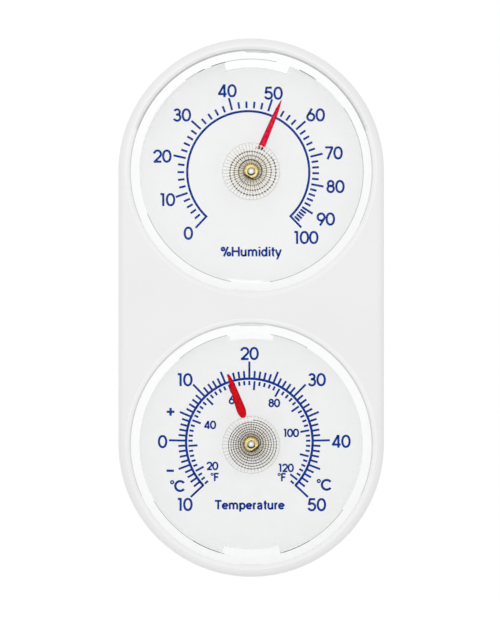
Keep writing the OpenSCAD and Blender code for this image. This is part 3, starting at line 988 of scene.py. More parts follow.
@dataclass
class PrintSheet:
    """The print on one dial plate: flat strokes that lie on it, each a hair above the last."""

    shape: Shape
    count: int = 0

    THICKNESS = 0.03
    PROUD = 0.7
    LIFT = 0.00004
    LAYERS = 200
    FEWEST_STEPS = 6
    STEPS_PER_MM = 3.0
    STEP_MARGIN = 2.0
    DEGREE_SIGN_WEIGHT = 0.6

    def next_height(self) -> float:
        """Height of the next stroke above the plate."""
        self.count += 1
        return self.THICKNESS * self.PROUD + self.LIFT * (self.count % self.LAYERS)

    def bar(self, start: Vector, end: Vector, width: float) -> None:
        """Prints a straight stroke.

        Args:
            start: one end.
            end: the other end.
            width: its width.
        """
        run = end - start
        middle = (start + end) / 2
        matrix = (
            Matrix.Translation((middle.x, middle.y, self.next_height()))
            @ Matrix.Rotation(math.atan2(run.y, run.x), 4, "Z")
            @ Matrix.Diagonal((run.length, width, 1.0, 1.0))
        )
        bmesh.ops.create_grid(self.shape, x_segments=1, y_segments=1, size=0.5, matrix=matrix)

    def arc(self, centre: Vector, radius: float, start: float, end: float, width: float) -> None:
        """Prints a round stroke.

        Args:
            centre: its centre.
            radius: of its middle line.
            start: first angle in degrees, anticlockwise from the right.
            end: last angle.
            width: its width.
        """
        place = Vector((centre.x, centre.y, self.next_height()))
        a = math.radians(start)
        along = Vector((math.cos(a), math.sin(a), 0.0))
        radii = (radius - width / 2, radius + width / 2)
        ends = [self.shape.verts.new(place + along * r) for r in radii]
        edge = self.shape.edges.new(ends)
        turn = math.radians(end - start)
        length = abs(turn) * (radius + self.STEP_MARGIN)
        bmesh.ops.spin(
            self.shape, geom=[*ends, edge], cent=place, axis=(0, 0, 1), angle=turn,
            steps=max(self.FEWEST_STEPS, math.ceil(length * self.STEPS_PER_MM)),
            use_merge=abs(end - start) >= 360.0,
        )

    def tick(self, centre: Vector, angle: float, inner: float, outer: float, width: float) -> None:
        """Prints a radial stroke at an angle clockwise from the top."""
        self.bar(centre + clockwise(angle, inner), centre + clockwise(angle, outer), width)

    def word(
        self, text: str, middle: Vector, height: float, stroke: float, width: float | None = None
    ) -> None:
        """Prints a word or number.

        Args:
            text: its characters.
            middle: the middle of its width and of its capitals' height.
            height: the capitals' height.
            stroke: width of a stroke.
            width: the whole word's width, or None for the characters' own.
        """
        natural = sum(GLYPHS[letter].width for letter in text) * height
        squeeze = width / natural if width else 1.0
        x = middle.x - natural * squeeze / 2
        y = middle.y - height / 2
        for letter in text:
            glyph = GLYPHS[letter]
            weight = stroke * self.DEGREE_SIGN_WEIGHT if letter == "o" else stroke
            for item in glyph.strokes:
                self.stroke(item, Vector((x, y, 0.0)), height, squeeze, weight)
            x += glyph.width * height * squeeze

    def stroke(
        self, item: Stroke, corner: Vector, height: float, squeeze: float, width: float
    ) -> None:
        """Prints one stroke of a character whose lower left corner is given.

        Args:
            item: the stroke.
            corner: the character's lower left corner.
            height: the capitals' height.
            squeeze: how wide it is, as a share of its own width.
            width: the stroke's width.
        """
        if isinstance(item, Bar):
            start = corner + Vector((item.x0 * squeeze, item.y0, 0.0)) * height
            end = corner + Vector((item.x1 * squeeze, item.y1, 0.0)) * height
            self.bar(start, end, width)
        else:
            centre = corner + Vector((item.x * squeeze, item.y, 0.0)) * height
            self.arc(centre, item.r * height, item.start, item.end, width)

    def thicken(self) -> None:
        """Gives every stroke its thickness, down into the plate."""
        bmesh.ops.recalc_face_normals(self.shape, faces=self.shape.faces)
        for face in self.shape.faces:
            if face.normal.z < 0:
                face.normal_flip()
        bmesh.ops.translate(self.shape, verts=extrude(self.shape), vec=(0, 0, -self.THICKNESS))
        bmesh.ops.recalc_face_normals(self.shape, faces=self.shape.faces)


@dataclass
class DialPlate(ABC):
    """A dial plate and its print."""

    finishes: Finishes
    side: Side
    middle: Vector
    face_height: float = 12.0
    body: str = "case"

    NUMERAL_STROKE = 0.60
    WORD_STROKE = 0.54

    @abstractmethod
    def draw(self, sheet: PrintSheet) -> None:
        """Prints the scale on the sheet."""

    def dress(self, nodes: Nodes) -> None:
        """Finishes the plate and lays its print on it.

        Args:
            nodes: the CAD nodes by name.
        """
        paint(nodes[f"{self.side.instrument}_dial"], self.finishes.dial)
        sheet = PrintSheet(bmesh.new())
        self.draw(sheet)
        sheet.thicken()
        piece = Piece(f"{self.side.word}_scale_print", sheet.shape, [self.finishes.ink])
        placed = piece.place(self.side.matrix @ Matrix.Translation((0, 0, self.face_height)))
        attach(placed, self.body)

    def at(self, x: float, y: float) -> Vector:
        """Point at an offset from the middle of the print."""
        return self.middle + Vector((x, y, 0.0))

    def label(
        self, sheet: PrintSheet, labels: Sequence[tuple], height: float, stroke: float
    ) -> None:
        """Prints characters of one size, each with its offset from the middle of the print."""
        for text, x, y in labels:
            sheet.word(text, self.at(x, y), height, stroke)


@dataclass
class HumidityPlate(DialPlate):
    """Relative humidity from 0 to 100 percent, crowded towards its ends."""

    arc_r: float = 16.6
    arc_w: float = 0.62
    tick_in: float = 17.45
    tick_out: float = 19.25
    major_out: float = 20.85
    tick_w: float = 0.57
    numeral_h: float = 3.5
    word_at: Span = (0.79, -21.60)
    word_h: float = 2.6
    word_w: float = 16.5

    TENS = (-136.6, -108.9, -77.3, -47.8, -14.6, 18.1, 48.3, 76.0, 100.8, 122.8, 136.2)
    NUMERALS = (
        ("0", -16.30, -16.60), ("10", -21.95, -7.48), ("20", -23.38, 4.37), ("30", -18.05, 15.57),
        ("40", -5.72, 22.15), ("50", 6.86, 21.50), ("60", 18.33, 15.58), ("70", 23.28, 5.25),
        ("80", 23.72, -3.90), ("90", 21.07, -12.75), ("100", 15.74, -17.77),
    )

    def draw(self, sheet: PrintSheet) -> None:
        """Prints the scale on the sheet.

        Args:
            sheet: the dial's print.
        """
        first, last = self.TENS[0], self.TENS[-1]
        root = self.arc_r - self.arc_w / 2
        sheet.arc(self.middle, self.arc_r, 90 - last, 90 - first, self.arc_w)
        for low, high in zip(self.TENS, self.TENS[1:]):
            for step in range(5):
                angle = low + (high - low) * step / 5
                outer = self.major_out if step == 0 else self.tick_out
                inner = root if angle == first else self.tick_in
                sheet.tick(self.middle, angle, inner, outer, self.tick_w)
        sheet.tick(self.middle, last, root, self.major_out, self.tick_w)
        self.label(sheet, self.NUMERALS, self.numeral_h, self.NUMERAL_STROKE)
        middle = self.at(*self.word_at)
        sheet.word("%Humidity", middle, self.word_h, self.WORD_STROKE, self.word_w)


@dataclass
class TemperaturePlate(DialPlate):
    """Temperature, in degrees Celsius outside the arc and Fahrenheit inside it."""

    arc_r: float = 17.22
    arc_w: float = 0.66
    root_in: float = 0.2
    tens_out: float = 21.9
    fives_out: float = 20.6
    ones_out: float = 19.35
    tick_w: float = 0.56
    fine_tens_in: float = 14.15
    fine_in: float = 15.45
    fine_out: float = 16.6
    fine_w: float = 0.55
    degree: float = 4.44
    upright: float = 20.0
    numeral_h: float = 3.5
    small_h: float = 2.2
    small_stroke: float = 0.47
    sign_h: float = 3.05
    sign_stroke: float = 0.64
    plus_h: float = 3.3
    minus_h: float = 3.1
    word_at: Span = (0.10, -17.1)
    word_h: float = 2.5
    word_w: float = 19.1

    CELSIUS = (
        ("10", -17.53, -17.00), ("0", -23.61, 0.10), ("10", -17.54, 16.93), ("20", 0.06, 24.07),
        ("30", 18.32, 16.95), ("40", 24.98, 0.18), ("50", 18.34, -17.07),
    )
    FAHRENHEIT = (
        ("20", -10.05, -6.52), ("40", -10.69, 4.65), ("60", -3.98, 11.39), ("80", 6.76, 10.60),
        ("100", 11.38, 2.46), ("120", 10.00, -7.05),
    )
    CELSIUS_SIGNS = (("oC", -19.51, -11.99), ("oC", 20.38, -11.66))
    FAHRENHEIT_SIGNS = (("oF", -9.44, -9.55), ("oF", 8.81, -9.60))
    PLUS = (("+", -21.44, 8.20),)
    MINUS = (("-", -21.53, -7.83),)

    def draw(self, sheet: PrintSheet) -> None:
        """Prints the scale on the sheet.

        Args:
            sheet: the dial's print.
        """
        end = self.angle(50)
        sheet.arc(self.middle, self.arc_r, 90 - end, 90 + end, self.arc_w)
        for celsius in range(-10, 51):
            fives_out = self.fives_out if celsius % 5 == 0 else self.ones_out
            outer = self.tens_out if celsius % 10 == 0 else fives_out
            inner, angle = self.arc_r - self.root_in, self.angle(celsius)
            sheet.tick(self.middle, angle, inner, outer, self.tick_w)
        for fahrenheit in range(14, 123, 2):
            inner = self.fine_tens_in if fahrenheit % 10 == 0 else self.fine_in
            angle = self.angle((fahrenheit - 32) / 1.8)
            sheet.tick(self.middle, angle, inner, self.fine_out, self.fine_w)
        self.label(sheet, self.CELSIUS, self.numeral_h, self.NUMERAL_STROKE)
        self.label(sheet, self.FAHRENHEIT, self.small_h, self.small_stroke)
        self.label(sheet, self.CELSIUS_SIGNS, self.sign_h, self.sign_stroke)
        self.label(sheet, self.FAHRENHEIT_SIGNS, self.small_h, self.small_stroke)
        self.label(sheet, self.PLUS, self.plus_h, self.sign_stroke)
        self.label(sheet, self.MINUS, self.minus_h, self.sign_stroke)
        middle = self.at(*self.word_at)
        sheet.word("Temperature", middle, self.word_h, self.WORD_STROKE, self.word_w)

    def angle(self, celsius: float) -> float:
        """Angle of a temperature on the scale, clockwise from the top."""
        return (celsius - self.upright) * self.degree


# ---------------------------------------------------------------------------------------------
# Windows
# ---------------------------------------------------------------------------------------------


@dataclass
class SnapWindow:
    """A clear window: a flat face, a sloped shoulder, a flange, a skirt with tabs, and flutes."""

    finishes: Finishes
    side: Side
    turn: float
    tabs: tuple[Triple, ...]
    # Angles on the wall where the face's line is painted light instead of shade
    bright_parts: tuple[Span, ...] = ()
    face_r: float = 30.3
    rim_r: float = 32.7
    rim_z: float = 18.3
    top_z: float = 19.7
    under_z: float = 18.2
    flange_z: float = 16.82
    skirt_r: float = 31.5
    skirt_in_r: float = 30.3
    foot_z: float = 12.02
    flute_in: float = 1.9
    flute_out: float = 7.8
    flute_w: float = 0.14
    flute_d: float = 0.2
    flutes: int = 48
    flank: float = 2.6
    flank_in: float = 3.5
    flank_end: float = 0.2
    flank_low: float = 0.1
    overlap: float = 0.02
    notch_w: float = 6.0
    notch_d: float = 0.4
    hook_z: Triple = (13.1, 13.9, 14.7)
    hook_out: float = 0.8
    tab_out: float = 0.6
    tab_top: float = 0.4
    tab_steps: int = 24
    slot_ends: Span = (16.0, 31.0)
    line_w: float = 0.1
    rim_w: float = 0.11
    slack: float = 0.01
    near_rim: Span = (0.2, 0.1)
    rim_dark: float = 70.0
    rim_fine: float = 115.0
    hang: float = 0.12
    smooth_under: float = 12.0
    steps: int = 288

    # BRIGHT is painted light for the light the clear plastic pipes; FINE, DARK and RIM are painted
    # shade; RIB and NEXT_RIB carry painted shade and the hub's painted reflection; FLANK is a
    # painted highlight
    CLEAR, BRIGHT, FINE, DARK, RIM, RIB, NEXT_RIB, FLANK = range(8)

    def dress(self, nodes: Nodes) -> None:
        """Builds the window in place of its CAD node.

        Args:
            nodes: the CAD nodes by name.
        """
        name = f"{self.side.instrument}_window"
        shape = bmesh.new()
        self.pane(shape)
        self.finish_faces(shape)
        for middle, half, thickness in self.tabs:
            self.notch(shape, middle)
            self.tab(shape, middle, half, thickness)
        self.flute(shape)
        made = self.finishes
        materials = [made.clear, made.piped_light_white, made.fine_line, made.dark_line, made.rim_line]
        materials += [*made.flutes[self.side], made.flank[self.side]]
        lower = Matrix.Translation((0, -self.hang, 0))
        matrix = self.side.matrix @ lower @ Matrix.Rotation(math.radians(-self.turn), 4, "Z")
        placed = Piece(f"{name}_moulding", shape, materials).place(matrix, self.smooth_under)
        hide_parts(name)
        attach(placed, "case")

    def pane(self, shape: Shape) -> None:
        """Spins the whole section, with small roundings at its edges.

        Args:
            shape: the window's mesh.
        """
        section = (
            (0.0, self.top_z), (self.face_r - 0.4, self.top_z), (self.face_r - 0.1, self.top_z),
            (self.face_r + 0.12, self.top_z - 0.08), (self.rim_r - 0.1, self.rim_z + 0.07),
            (self.rim_r, self.rim_z - 0.03), (self.rim_r, self.flange_z),
            (self.skirt_r, self.flange_z), (self.skirt_r, self.foot_z),
            (self.skirt_in_r, self.foot_z), (self.skirt_in_r, self.under_z), (0.0, self.under_z),
        )
        lathe(shape, section, self.steps)
        bmesh.ops.remove_doubles(shape, verts=shape.verts, dist=0.0001)
        bmesh.ops.recalc_face_normals(shape, faces=shape.faces)

    def finish_faces(self, shape: Shape) -> None:
        """Gives each face of the pane its finish, by its radius and angle.

        Args:
            shape: the window's mesh.
        """
        for face in shape.faces:
            middle = face.calc_center_median()
            radius = Vector((middle.x, middle.y)).length
            angle = math.degrees(math.atan2(middle.x, middle.y))
            if abs(radius - self.face_r) < self.line_w and middle.z > self.under_z:
                face.material_index = self.line_finish(angle)
            elif radius > self.rim_r - self.rim_w:
                face.material_index = self.rim_finish(angle)
            # The shoulder and flange outside the face's edge are painted light
            elif radius > self.face_r - self.slack:
                face.material_index = self.BRIGHT

    def seen(self, angle: float) -> float:
        """Angle on the wall of an angle on the window, from -180 to 180 clockwise from the top."""
        return (angle + self.turn + 180) % 360 - 180

    def rim_finish(self, angle: float) -> int:
        """Finish of the rim's upright side: painted shade, darkest along its top, and painted light
        along its bottom.

        Args:
            angle: the face's angle on the window.

        Returns:
            The material's index.
        """
        away = abs(self.seen(angle))
        if away < self.rim_dark:
            return self.RIM
        return self.FINE if away < self.rim_fine else self.BRIGHT

    def line_finish(self, angle: float) -> int:
        """Finish of the thin line round the face, painted shade: dark where a relief slot frees the
        wide tab, and painted light over the bright parts.

        Args:
            angle: the face's angle on the window.

        Returns:
            The material's index.
        """
        seen = self.seen(angle)
        if any(first < seen < last for first, last in self.bright_parts):
            return self.BRIGHT
        first, last = self.slot_ends
        return self.DARK if first < abs(angle) < last else self.FINE

    def notch(self, shape: Shape, middle: float) -> None:
        """Sets the rim back where a blade can prise the window out.

        Args:
            shape: the window's mesh.
            middle: the notch's angle on the window.
        """
        half = math.degrees(self.notch_w / 2 / self.rim_r)
        slope = (self.top_z - self.rim_z) / (self.rim_r - self.face_r)
        for vert in shape.verts:
            flat = Vector((vert.co.x, vert.co.y))
            away = abs((math.degrees(math.atan2(vert.co.x, vert.co.y)) - middle + 180) % 360 - 180)
            if flat.length < self.rim_r - self.near_rim[0] or away > half:
                continue
            flat *= (self.rim_r - self.notch_d) / self.rim_r
            on_slope = vert.co.z > self.rim_z - self.near_rim[1]
            rise = slope * self.notch_d if on_slope else 0.0
            vert.co = (flat.x, flat.y, vert.co.z + rise)

    def flute(self, shape: Shape) -> None:
        """Adds the radial ribs and their ring under the middle of the face.

        Args:
            shape: the window's mesh.
        """
        low, high = self.under_z - self.flute_d, self.under_z + self.overlap
        inner, outer = self.flute_out - self.flute_w, self.flute_out
        middle = Matrix.Translation((0, (self.flute_in + inner) / 2, (low + high) / 2))
        size = Matrix.Diagonal((self.flute_w, inner - self.flute_in, high - low, 1.0))
        for index in range(self.flutes):
            turn = Matrix.Rotation(math.tau * index / self.flutes, 4, "Z")
            made = bmesh.ops.create_cube(shape, size=1.0, matrix=turn @ middle @ size)
            for face in {face for vert in made["verts"] for face in vert.link_faces}:
                # Ribs alternate between the hub's two painted reflections
                face.material_index = self.NEXT_RIB if index % 2 else self.RIB
            self.add_flank(shape, 360.0 * (index + 0.5) / self.flutes)
        ring = ((inner, low), (outer, low), (outer, high), (inner, high))
        for face in lathe(shape, ring, self.steps // 2, closed=True):
            face.material_index = self.NEXT_RIB

    def add_flank(self, shape: Shape, angle: float) -> None:
        """Adds a painted highlight of a rib's side: a thin wedge between two ribs.

        Args:
            shape: the window's mesh.
            angle: the wedge's angle on the window.
        """
        inner, outer = self.flank_in, self.flute_out - self.flank_end
        low, high = self.under_z - self.flank_low, self.under_z + self.overlap
        section = ((inner, low), (outer, low), (outer, high), (inner, high))
        add_sector(shape, section, 1, (angle - self.flank / 2, angle + self.flank / 2), self.FLANK)

    def tab(self, shape: Shape, middle: float, half: float, thickness: float) -> None:
        """Adds a snap tab, with its hook, inside the skirt.

        Args:
            shape: the window's mesh.
            middle: its angle on the window.
            half: half its angle.
            thickness: from the skirt's outside inwards.
        """
        inner, outer = self.skirt_r - thickness, self.skirt_r - self.tab_out
        hook, top = self.skirt_r + self.hook_out, self.top_z - self.tab_top
        foot, tip, back = self.hook_z
        section = (
            (inner, foot), (outer, foot), (hook, tip), (hook, back), (outer, back), (outer, top),
            (inner, top),
        )
        # The tab is painted white for the light the clear plastic pipes: painted light
        add_sector(shape, section, self.tab_steps, (middle - half, middle + half), self.BRIGHT)


# ---------------------------------------------------------------------------------------------
# Coils
# ---------------------------------------------------------------------------------------------


@dataclass
class Winding:
    """The middle line of a flat coil, from the hub's slot to the pointer's foot."""

    outer_r: float
    turns: float
    end_angle: float
    strip_t: float
    hub_r: float = 2.25
    slot_r: float = 1.68
    bend_r: float = 0.9
    past_middle: float = 0.6
    shift: Span = (0.18, -0.32)

    def __post_init__(self) -> None:
        """Works out where the bend ends and how far the whole coil is turned."""
        self.slot_exit = math.sqrt(self.hub_r**2 - self.slot_r**2)
        self.straight = (1 + self.past_middle) * self.slot_exit
        self.bend = math.atan2(self.slot_exit, self.slot_r - self.bend_r)
        self.start_r = self.bend_r + math.hypot(self.slot_exit, self.slot_r - self.bend_r)
        self.growth = (self.outer_r - self.strip_t / 2 - self.start_r) / (math.tau * self.turns)
        self.turn = -math.radians(self.end_angle) - self.bend - math.tau * self.turns
        self.turned = Matrix.Rotation(self.turn, 3, "Z")

    @property
    def lead(self) -> float:
        """Length of the straight end and the bend, before the spiral."""
        return self.straight + self.bend * self.bend_r

    def spiral(self, wound: float) -> Vector:
        """Point of the spiral after an angle in radians from where the bend ends.

        Args:
            wound: the angle, in radians.

        Returns:
            The point.
        """
        r = self.start_r + self.growth * wound
        a = self.bend + wound
        share = wound / (math.tau * self.turns)
        drift = Vector((*self.shift, 0.0)) * share
        return self.turned @ Vector((-r * math.sin(a), r * math.cos(a), 0.0)) + drift

    def point(self, share: float) -> Vector:
        """Point of the whole line: below 0 its lead, from 0 to 1 the spiral by its angle.

        Args:
            share: the place on the line.

        Returns:
            The point.
        """
        if share >= 0:
            return self.spiral(share * math.tau * self.turns)
        left = self.lead * (1 + share)
        if left <= self.straight:
            x = self.past_middle * self.slot_exit - left
            return self.turned @ Vector((x, self.slot_r, 0.0))
        a = (left - self.straight) / self.bend_r
        x = -self.slot_exit - self.bend_r * math.sin(a)
        return self.turned @ Vector((x, self.slot_r - self.bend_r * (1 - math.cos(a)), 0.0))

    def outward(self, share: float) -> Vector:
        """Direction square to the line, away from the hub.

        Args:
            share: the place on the line.

        Returns:
            A direction of length 1.
        """
        step = 1e-4
        run = self.point(min(share + step, 1.0)) - self.point(share - step)
        return Vector((run.y, -run.x, 0.0)).normalized()


@dataclass
class FlatCoil:
    """A strip wound from a hub to a pointer, which winds up as the pointer turns."""

    side: Side
    winding: Winding
    name: str
    node: str
    slot: str
    materials: Sequence[Material]
    inner: float
    outer: float
    first: float = -1.0
    last: float = 1.0
    low_z: float = 13.2
    high_z: float = 15.6
    steps_per_turn: int = 90
    smooth_under: float = 25.0

    def dress(self) -> None:
        """Builds the strip straight, and winds it in place of its node."""
        piece = self.strip()
        mesh = piece.data
        plan = [(v.co.x + 0.5, v.co.y + 0.5, v.co.z) for v in mesh.vertices]
        shares = [self.first + (self.last - self.first) * along for along, _, _ in plan]
        for vert, share in zip(mesh.vertices, shares):
            vert.co = (ease_back(share), 0.0, 0.0)
        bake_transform(piece)
        for vert, share, (_, across, up) in zip(mesh.vertices, shares, plan):
            away = self.inner + (self.outer - self.inner) * across
            spot = self.winding.point(share) + self.winding.outward(share) * away
            spot.z = self.low_z + (self.high_z - self.low_z) * up
            vert.co = self.side.matrix @ spot
        mesh.update()
        outwards(mesh)
        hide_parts(self.node)

    def strip(self) -> bpy.types.Object:
        """The straight strip, as a box of one unit: along it, across it and up.

        Returns:
            The strip's object.
        """
        shape = bmesh.new()
        count = int(self.winding.turns * self.steps_per_turn)
        bmesh.ops.create_grid(shape, x_segments=count, y_segments=1, size=0.5)
        bmesh.ops.translate(shape, verts=extrude(shape), vec=(0, 0, 1.0))
        bmesh.ops.recalc_face_normals(shape, faces=shape.faces)
        # The front and back edges take the second finish, painted shade
        for face in shape.faces:
            face.material_index = int(abs(face.normal.z) > 0.5)
        return Piece(self.name, shape, self.materials).place(Matrix.Identity(4), self.smooth_under)


@dataclass
class Pointer:
    """A stamped pointer: a blade with pressed edges, and a foot that follows the coil."""

    side: Side
    winding: Winding
    finishes: Finishes
    slot: str
    angle: float
    lean: float
    outline: tuple[Span, ...]
    foot_ends: Span
    edge_w: float = 0.3
    edge_share: float = 0.45
    edge_drop: float = 0.1
    low_z: float = 15.64
    high_z: float = 15.93
    foot_low_z: float = 13.25
    foot_high_z: float = 15.92
    foot_gap: float = 0.02
    foot_w: float = 0.3
    foot_steps: int = 16
    level: float = 0.001
    rows: int = 96
    smooth_under: float = 30.0

    FACE, EDGE, FOOT = range(3)

    def dress(self) -> None:
        """Builds the pointer in place of its CAD node."""
        shape = bmesh.new()
        self.blade(shape)
        self.add_foot(shape)
        node = f"{self.side.instrument}_pointer"
        materials = [*self.finishes.enamel[self.side], self.finishes.foot[self.side]]
        piece = Piece(f"{node}_blade", shape, materials).place(self.side.matrix, self.smooth_under)
        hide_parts(node)
        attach(piece, f"{self.side.instrument}_hand")

    def half_width(self, radius: float) -> float:
        """Half the blade's width at a radius, between the outline's points.

        Args:
            radius: the distance from the dial's axis.

        Returns:
            Half the width.
        """
        for (r0, w0), (r1, w1) in zip(self.outline, self.outline[1:]):
            if radius <= r1:
                return w0 + (w1 - w0) * max(0.0, radius - r0) / (r1 - r0)
        return self.outline[-1][1]

    def blade(self, shape: Shape) -> None:
        """Draws a grid out to the outline, presses its edges down, and gives it thickness.

        Args:
            shape: the pointer's mesh.
        """
        bmesh.ops.create_grid(shape, x_segments=4, y_segments=self.rows, size=0.5)
        root, tip = self.outline[0][0], self.outline[-1][0]
        for vert in shape.verts:
            radius = root + (tip - root) * (vert.co.y + 0.5)
            half = self.half_width(radius)
            column = round(4 * vert.co.x)
            inset = min(self.edge_w, self.edge_share * half) if abs(column) == 1 else 0.0
            reach = half - inset if column else 0.0
            drop = self.edge_drop * min(1.0, half / self.edge_w) if abs(column) == 2 else 0.0
            vert.co = (math.copysign(reach, column) if column else 0.0, radius, self.high_z - drop)
        for face in shape.faces:
            # Faces that slope down at the blade's sides take the darker enamel, painted shade
            face.material_index = self.EDGE if self.at_edge(face) else self.FACE
        for vert in extrude(shape):
            vert.co.z = self.low_z
        bmesh.ops.recalc_face_normals(shape, faces=shape.faces)
        at_tip = Matrix.Translation((0, tip, 0))
        tilt = at_tip @ Matrix.Rotation(math.radians(self.lean), 4, "Z") @ at_tip.inverted()
        spin = Matrix.Rotation(-math.radians(self.angle), 4, "Z")
        bmesh.ops.transform(shape, matrix=spin @ tilt, verts=shape.verts)

    def at_edge(self, face: bmesh.types.BMFace) -> bool:
        """Whether a face slopes down at the blade's side."""
        heights = [vert.co.z for vert in face.verts]
        return max(heights) - min(heights) > self.level

    def add_foot(self, shape: Shape) -> None:
        """Adds the foot round the coil's last turn.

        Args:
            shape: the pointer's mesh.
        """
        inner = self.winding.outer_r + self.foot_gap
        outer = inner + self.foot_w
        low, high = self.foot_low_z, self.foot_high_z
        section = ((inner, low), (outer, low), (outer, high), (inner, high))
        ends, shift = self.foot_ends, self.winding.shift
        add_sector(shape, section, self.foot_steps, ends, self.FOOT, shift)


def ease_back(share: float) -> float:
    """The place at which a smooth step, from 0 to 1, has risen by the share."""
    share = min(max(share, 0.0), 1.0)
    return 0.5 - math.sin(math.asin(1 - 2 * share) / 3)


def outwards(mesh: bpy.types.Mesh) -> None:
    """Turns a closed mesh's faces outwards, after its points have been moved.

    Args:
        mesh: the mesh, with its points in place.
    """
    shape = bmesh.new()
    shape.from_mesh(mesh)
    bmesh.ops.recalc_face_normals(shape, faces=shape.faces)
    shape.to_mesh(mesh)
    shape.free()


# ---------------------------------------------------------------------------------------------
# The rest of the instrument
# ---------------------------------------------------------------------------------------------


def paint(node: bpy.types.Object, material: Material) -> None:
    """Gives a CAD node its finish.

    Args:
        node: the CAD node.
        material: its finish.
    """
    if not node.material_slots:
        node.data.materials.append(material)
    for slot in node.material_slots:
        slot.material = material
    LOG.info("finished %s as %s", node.name, material.name)


@dataclass
class Case:
    """The case front, its back cover and the cover's screws."""

    finishes: Finishes

    def dress(self, nodes: Nodes) -> None:
        """Finishes the case's CAD nodes.

        Args:
            nodes: the CAD nodes by name.
        """
        paint(nodes["front_case"], self.finishes.case)
        paint(nodes["back_cover"], self.finishes.cover)
        paint(nodes["case_screws"], self.finishes.screw_steel)


@dataclass
class Movement:
    """One dial's post, clip, washer, hub, coil and pointer."""

    finishes: Finishes
    side: Side
    winding: Winding
    pointer: Pointer
    layer_t: float = 0.2
    bare_in: float = 15.0
    bare_out: float = 40.0

    def dress(self, nodes: Nodes) -> None:
        """Finishes the CAD nodes and winds the coil.

        Args:
            nodes: the CAD nodes by name.
        """
        made, name, word = self.finishes, self.side.instrument, self.side.word
        brass = KnurledBrass(f"{name}_hub_brass", centre=self.side.centre, turned=self.winding.turn)
        paint(nodes[f"{name}_post"], made.steel)
        paint(nodes[f"{name}_clip"], made.clip_steel)
        paint(nodes[f"{name}_washer"], made.spring_brass)
        paint(nodes[f"{name}_hub"], brass.material())
        self.pointer.dress()
        half = self.winding.strip_t / 2
        FlatCoil(
            self.side, self.winding, f"{word}_coil_strip", f"{word}_coil", "coil_metal",
            [made.strip, made.strip_edge], -half, half,
        ).dress()
        if self.side is Side.HUMIDITY:
            turn = 360 * self.winding.turns
            FlatCoil(
                self.side, self.winding, "humidity_swelling_layer", "humidity_layer",
                "swelling_layer", [made.coat, made.coat_edge], half, half + self.layer_t,
                self.bare_in / turn, 1 - self.bare_out / turn,
            ).dress()


# ---------------------------------------------------------------------------------------------
# Studio
# ---------------------------------------------------------------------------------------------


@dataclass
class Lamp:
    """A soft rectangular lamp that is aimed at the instrument."""

    name: str
    place: Triple
    size: float
    watts: float

    def hang(self) -> None:
        """Makes the lamp."""
        data = bpy.data.lights.new(self.name, "AREA")
        data.shape = "SQUARE"
        data.size = self.size
        data.energy = self.watts
        lamp = bpy.data.objects.new(self.name, data)
        lamp.location = self.place
        lamp.rotation_euler = (-Vector(self.place)).to_track_quat("-Z", "Y").to_euler()
        bpy.context.scene.collection.objects.link(lamp)


@dataclass
class Studio:
    """Floor, light and camera."""

    fill: float = 0.84
    backdrop: float = 1.0
    floor_z: float = -0.115
    lens: float = 250.0
    sensor: float = 36.0
    pixels_per_mm: float = 3.694
    picture: tuple[int, int] = (500, 625)
    middle_px: Span = (251.2, 307.6)
    face_y: float = -0.018
    clear_layers: int = 64
    clip_end: float = 20.0
    floor_tint: float = 0.9
    floor_glow: float = 0.35
    lamps: tuple[Lamp, ...] = (
        Lamp("key_lamp", (-0.35, -1.6, 0.5), 1.0, 5.0),
        Lamp("side_lamp", (1.2, -1.4, 0.2), 1.0, 1.0),
    )

    def set_up(self) -> None:
        """Makes all of it."""
        self.camera()
        self.world()
        self.floor()
        for lamp in self.lamps:
            lamp.hang()
        bpy.context.scene.cycles.transparent_max_bounces = self.clear_layers
        bpy.context.scene.view_settings.view_transform = "Standard"
        LOG.info("studio is set up")

    def camera(self) -> None:
        """Places the camera square in front, so that the picture is filled as photographed."""
        width, height = self.picture
        span = height / self.pixels_per_mm * MM
        distance = span * self.lens / self.sensor
        data = bpy.data.cameras.new("camera")
        data.lens = self.lens
        data.sensor_width = self.sensor
        data.sensor_fit = "AUTO"
        data.clip_end = self.clip_end
        camera = bpy.data.objects.new("camera", data)
        x = (width / 2 - self.middle_px[0]) / self.pixels_per_mm * MM
        z = (self.middle_px[1] - height / 2) / self.pixels_per_mm * MM
        camera.location = (x, self.face_y - distance, z)
        camera.rotation_euler = (math.pi / 2, 0, 0)
        bpy.context.scene.collection.objects.link(camera)
        bpy.context.scene.camera = camera

    def world(self) -> None:
        """A pale room: even fill light, and a white background for what is seen or mirrored."""
        sheet = ShaderSheet(bpy.data.worlds.new("pale_room"))
        fill = sheet.add("Background", {"Color": WHITE, "Strength": self.fill})
        seen = sheet.add("Background", {"Color": (self.backdrop,) * 3})
        sheet.node("OutputWorld", {"Surface": sheet.blend(sheet.seen_rays(), fill, seen)})
        bpy.context.scene.world = sheet.owner

    def floor(self) -> None:
        """A plain pale floor a little below the instrument."""
        shape = bmesh.new()
        bmesh.ops.create_grid(shape, x_segments=1, y_segments=1, size=0.5)
        sheet = ShaderSheet(bpy.data.materials.new("pale_floor"))
        matt = sheet.add("BsdfDiffuse", {"Color": (self.floor_tint,) * 3})
        glow = sheet.add("Emission", {"Color": (self.backdrop,) * 3, "Strength": self.floor_glow})
        bright = sheet.add("AddShader", {0: matt, 1: glow})
        sheet.node("OutputMaterial", {"Surface": sheet.blend(sheet.seen_rays(), matt, bright)})
        floor = Piece("floor", shape, [sheet.owner])
        floor.place(Matrix.Translation((0, 0, self.floor_z)))


def corners(bounds: tuple[Vector, Vector]) -> list[list[float]]:
    """A box as plain lists of numbers."""
    return [[round(value, 6) for value in corner] for corner in bounds]


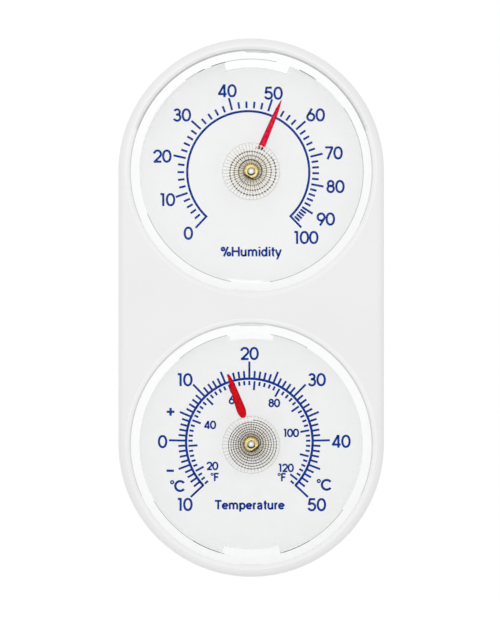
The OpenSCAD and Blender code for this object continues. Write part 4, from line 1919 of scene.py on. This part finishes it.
WINDINGS = {
    Side.HUMIDITY: Winding(6.8, 3.39, 9.0, 0.15),
    Side.TEMPERATURE: Winding(6.95, 6.22, 2.0, 0.2),
}
SLIM_OUTLINE = (
    (6.55, 0.93), (9.0, 0.87), (13.0, 0.75), (17.0, 0.6), (19.0, 0.4), (20.6, 0.16), (21.1, 0.03),
)
FULL_OUTLINE = (
    (7.35, 0.1), (7.45, 0.42), (7.7, 0.72), (8.1, 0.94), (8.8, 1.14), (9.6, 1.24), (10.4, 1.22),
    (12.4, 1.08), (15.6, 0.9), (18.0, 0.61), (19.2, 0.41), (19.75, 0.24), (19.98, 0.06),
)
# Slot, angle, lean, outline and foot ends of each pointer
POINTERS = {
    Side.HUMIDITY: ("crimson_pointer", 23.0, 0.0, SLIM_OUTLINE, (9.0, 30.0)),
    Side.TEMPERATURE: ("red_pointer", -18.25, 1.7, FULL_OUTLINE, (-25.0, 9.0)),
}


def main() -> None:
    """Loads the frame and dresses the instrument around it."""
    logging.basicConfig(level=logging.INFO, format="%(name)s: %(message)s")
    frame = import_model()
    nodes = frame["nodes"]
    finishes = Finishes()
    Studio().set_up()
    Case(finishes).dress(nodes)
    HumidityPlate(finishes, Side.HUMIDITY, Vector((-0.8, -0.15, 0.0))).dress(nodes)
    TemperaturePlate(finishes, Side.TEMPERATURE, Vector((-0.5, 0.45, 0.0))).dress(nodes)
    for side, winding in WINDINGS.items():
        pointer = Pointer(side, winding, finishes, *POINTERS[side])
        Movement(finishes, side, winding, pointer).dress(nodes)
    SnapWindow(
        finishes, Side.HUMIDITY, 3.0, ((0.0, 17.0, 3.4), (180.0, 9.0, 2.0)),
        (
            (-112.0, -36.0), (-25.0, -20.5), (13.0, 25.0), (36.0, 56.0), (171.0, 181.0),
            (-181.0, -170.0),
        ),
    ).dress(nodes)
    SnapWindow(
        finishes, Side.TEMPERATURE, 180.0, ((0.0, 15.0, 3.2), (180.0, 11.5, 2.8)),
        ((-120.0, -40.0), (-13.0, 10.0), (30.0, 125.0), (165.0, 181.0), (-181.0, -166.0)),
        rim_dark=0.0,
    ).dress(nodes)
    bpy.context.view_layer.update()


if __name__ == "__main__":
    main()
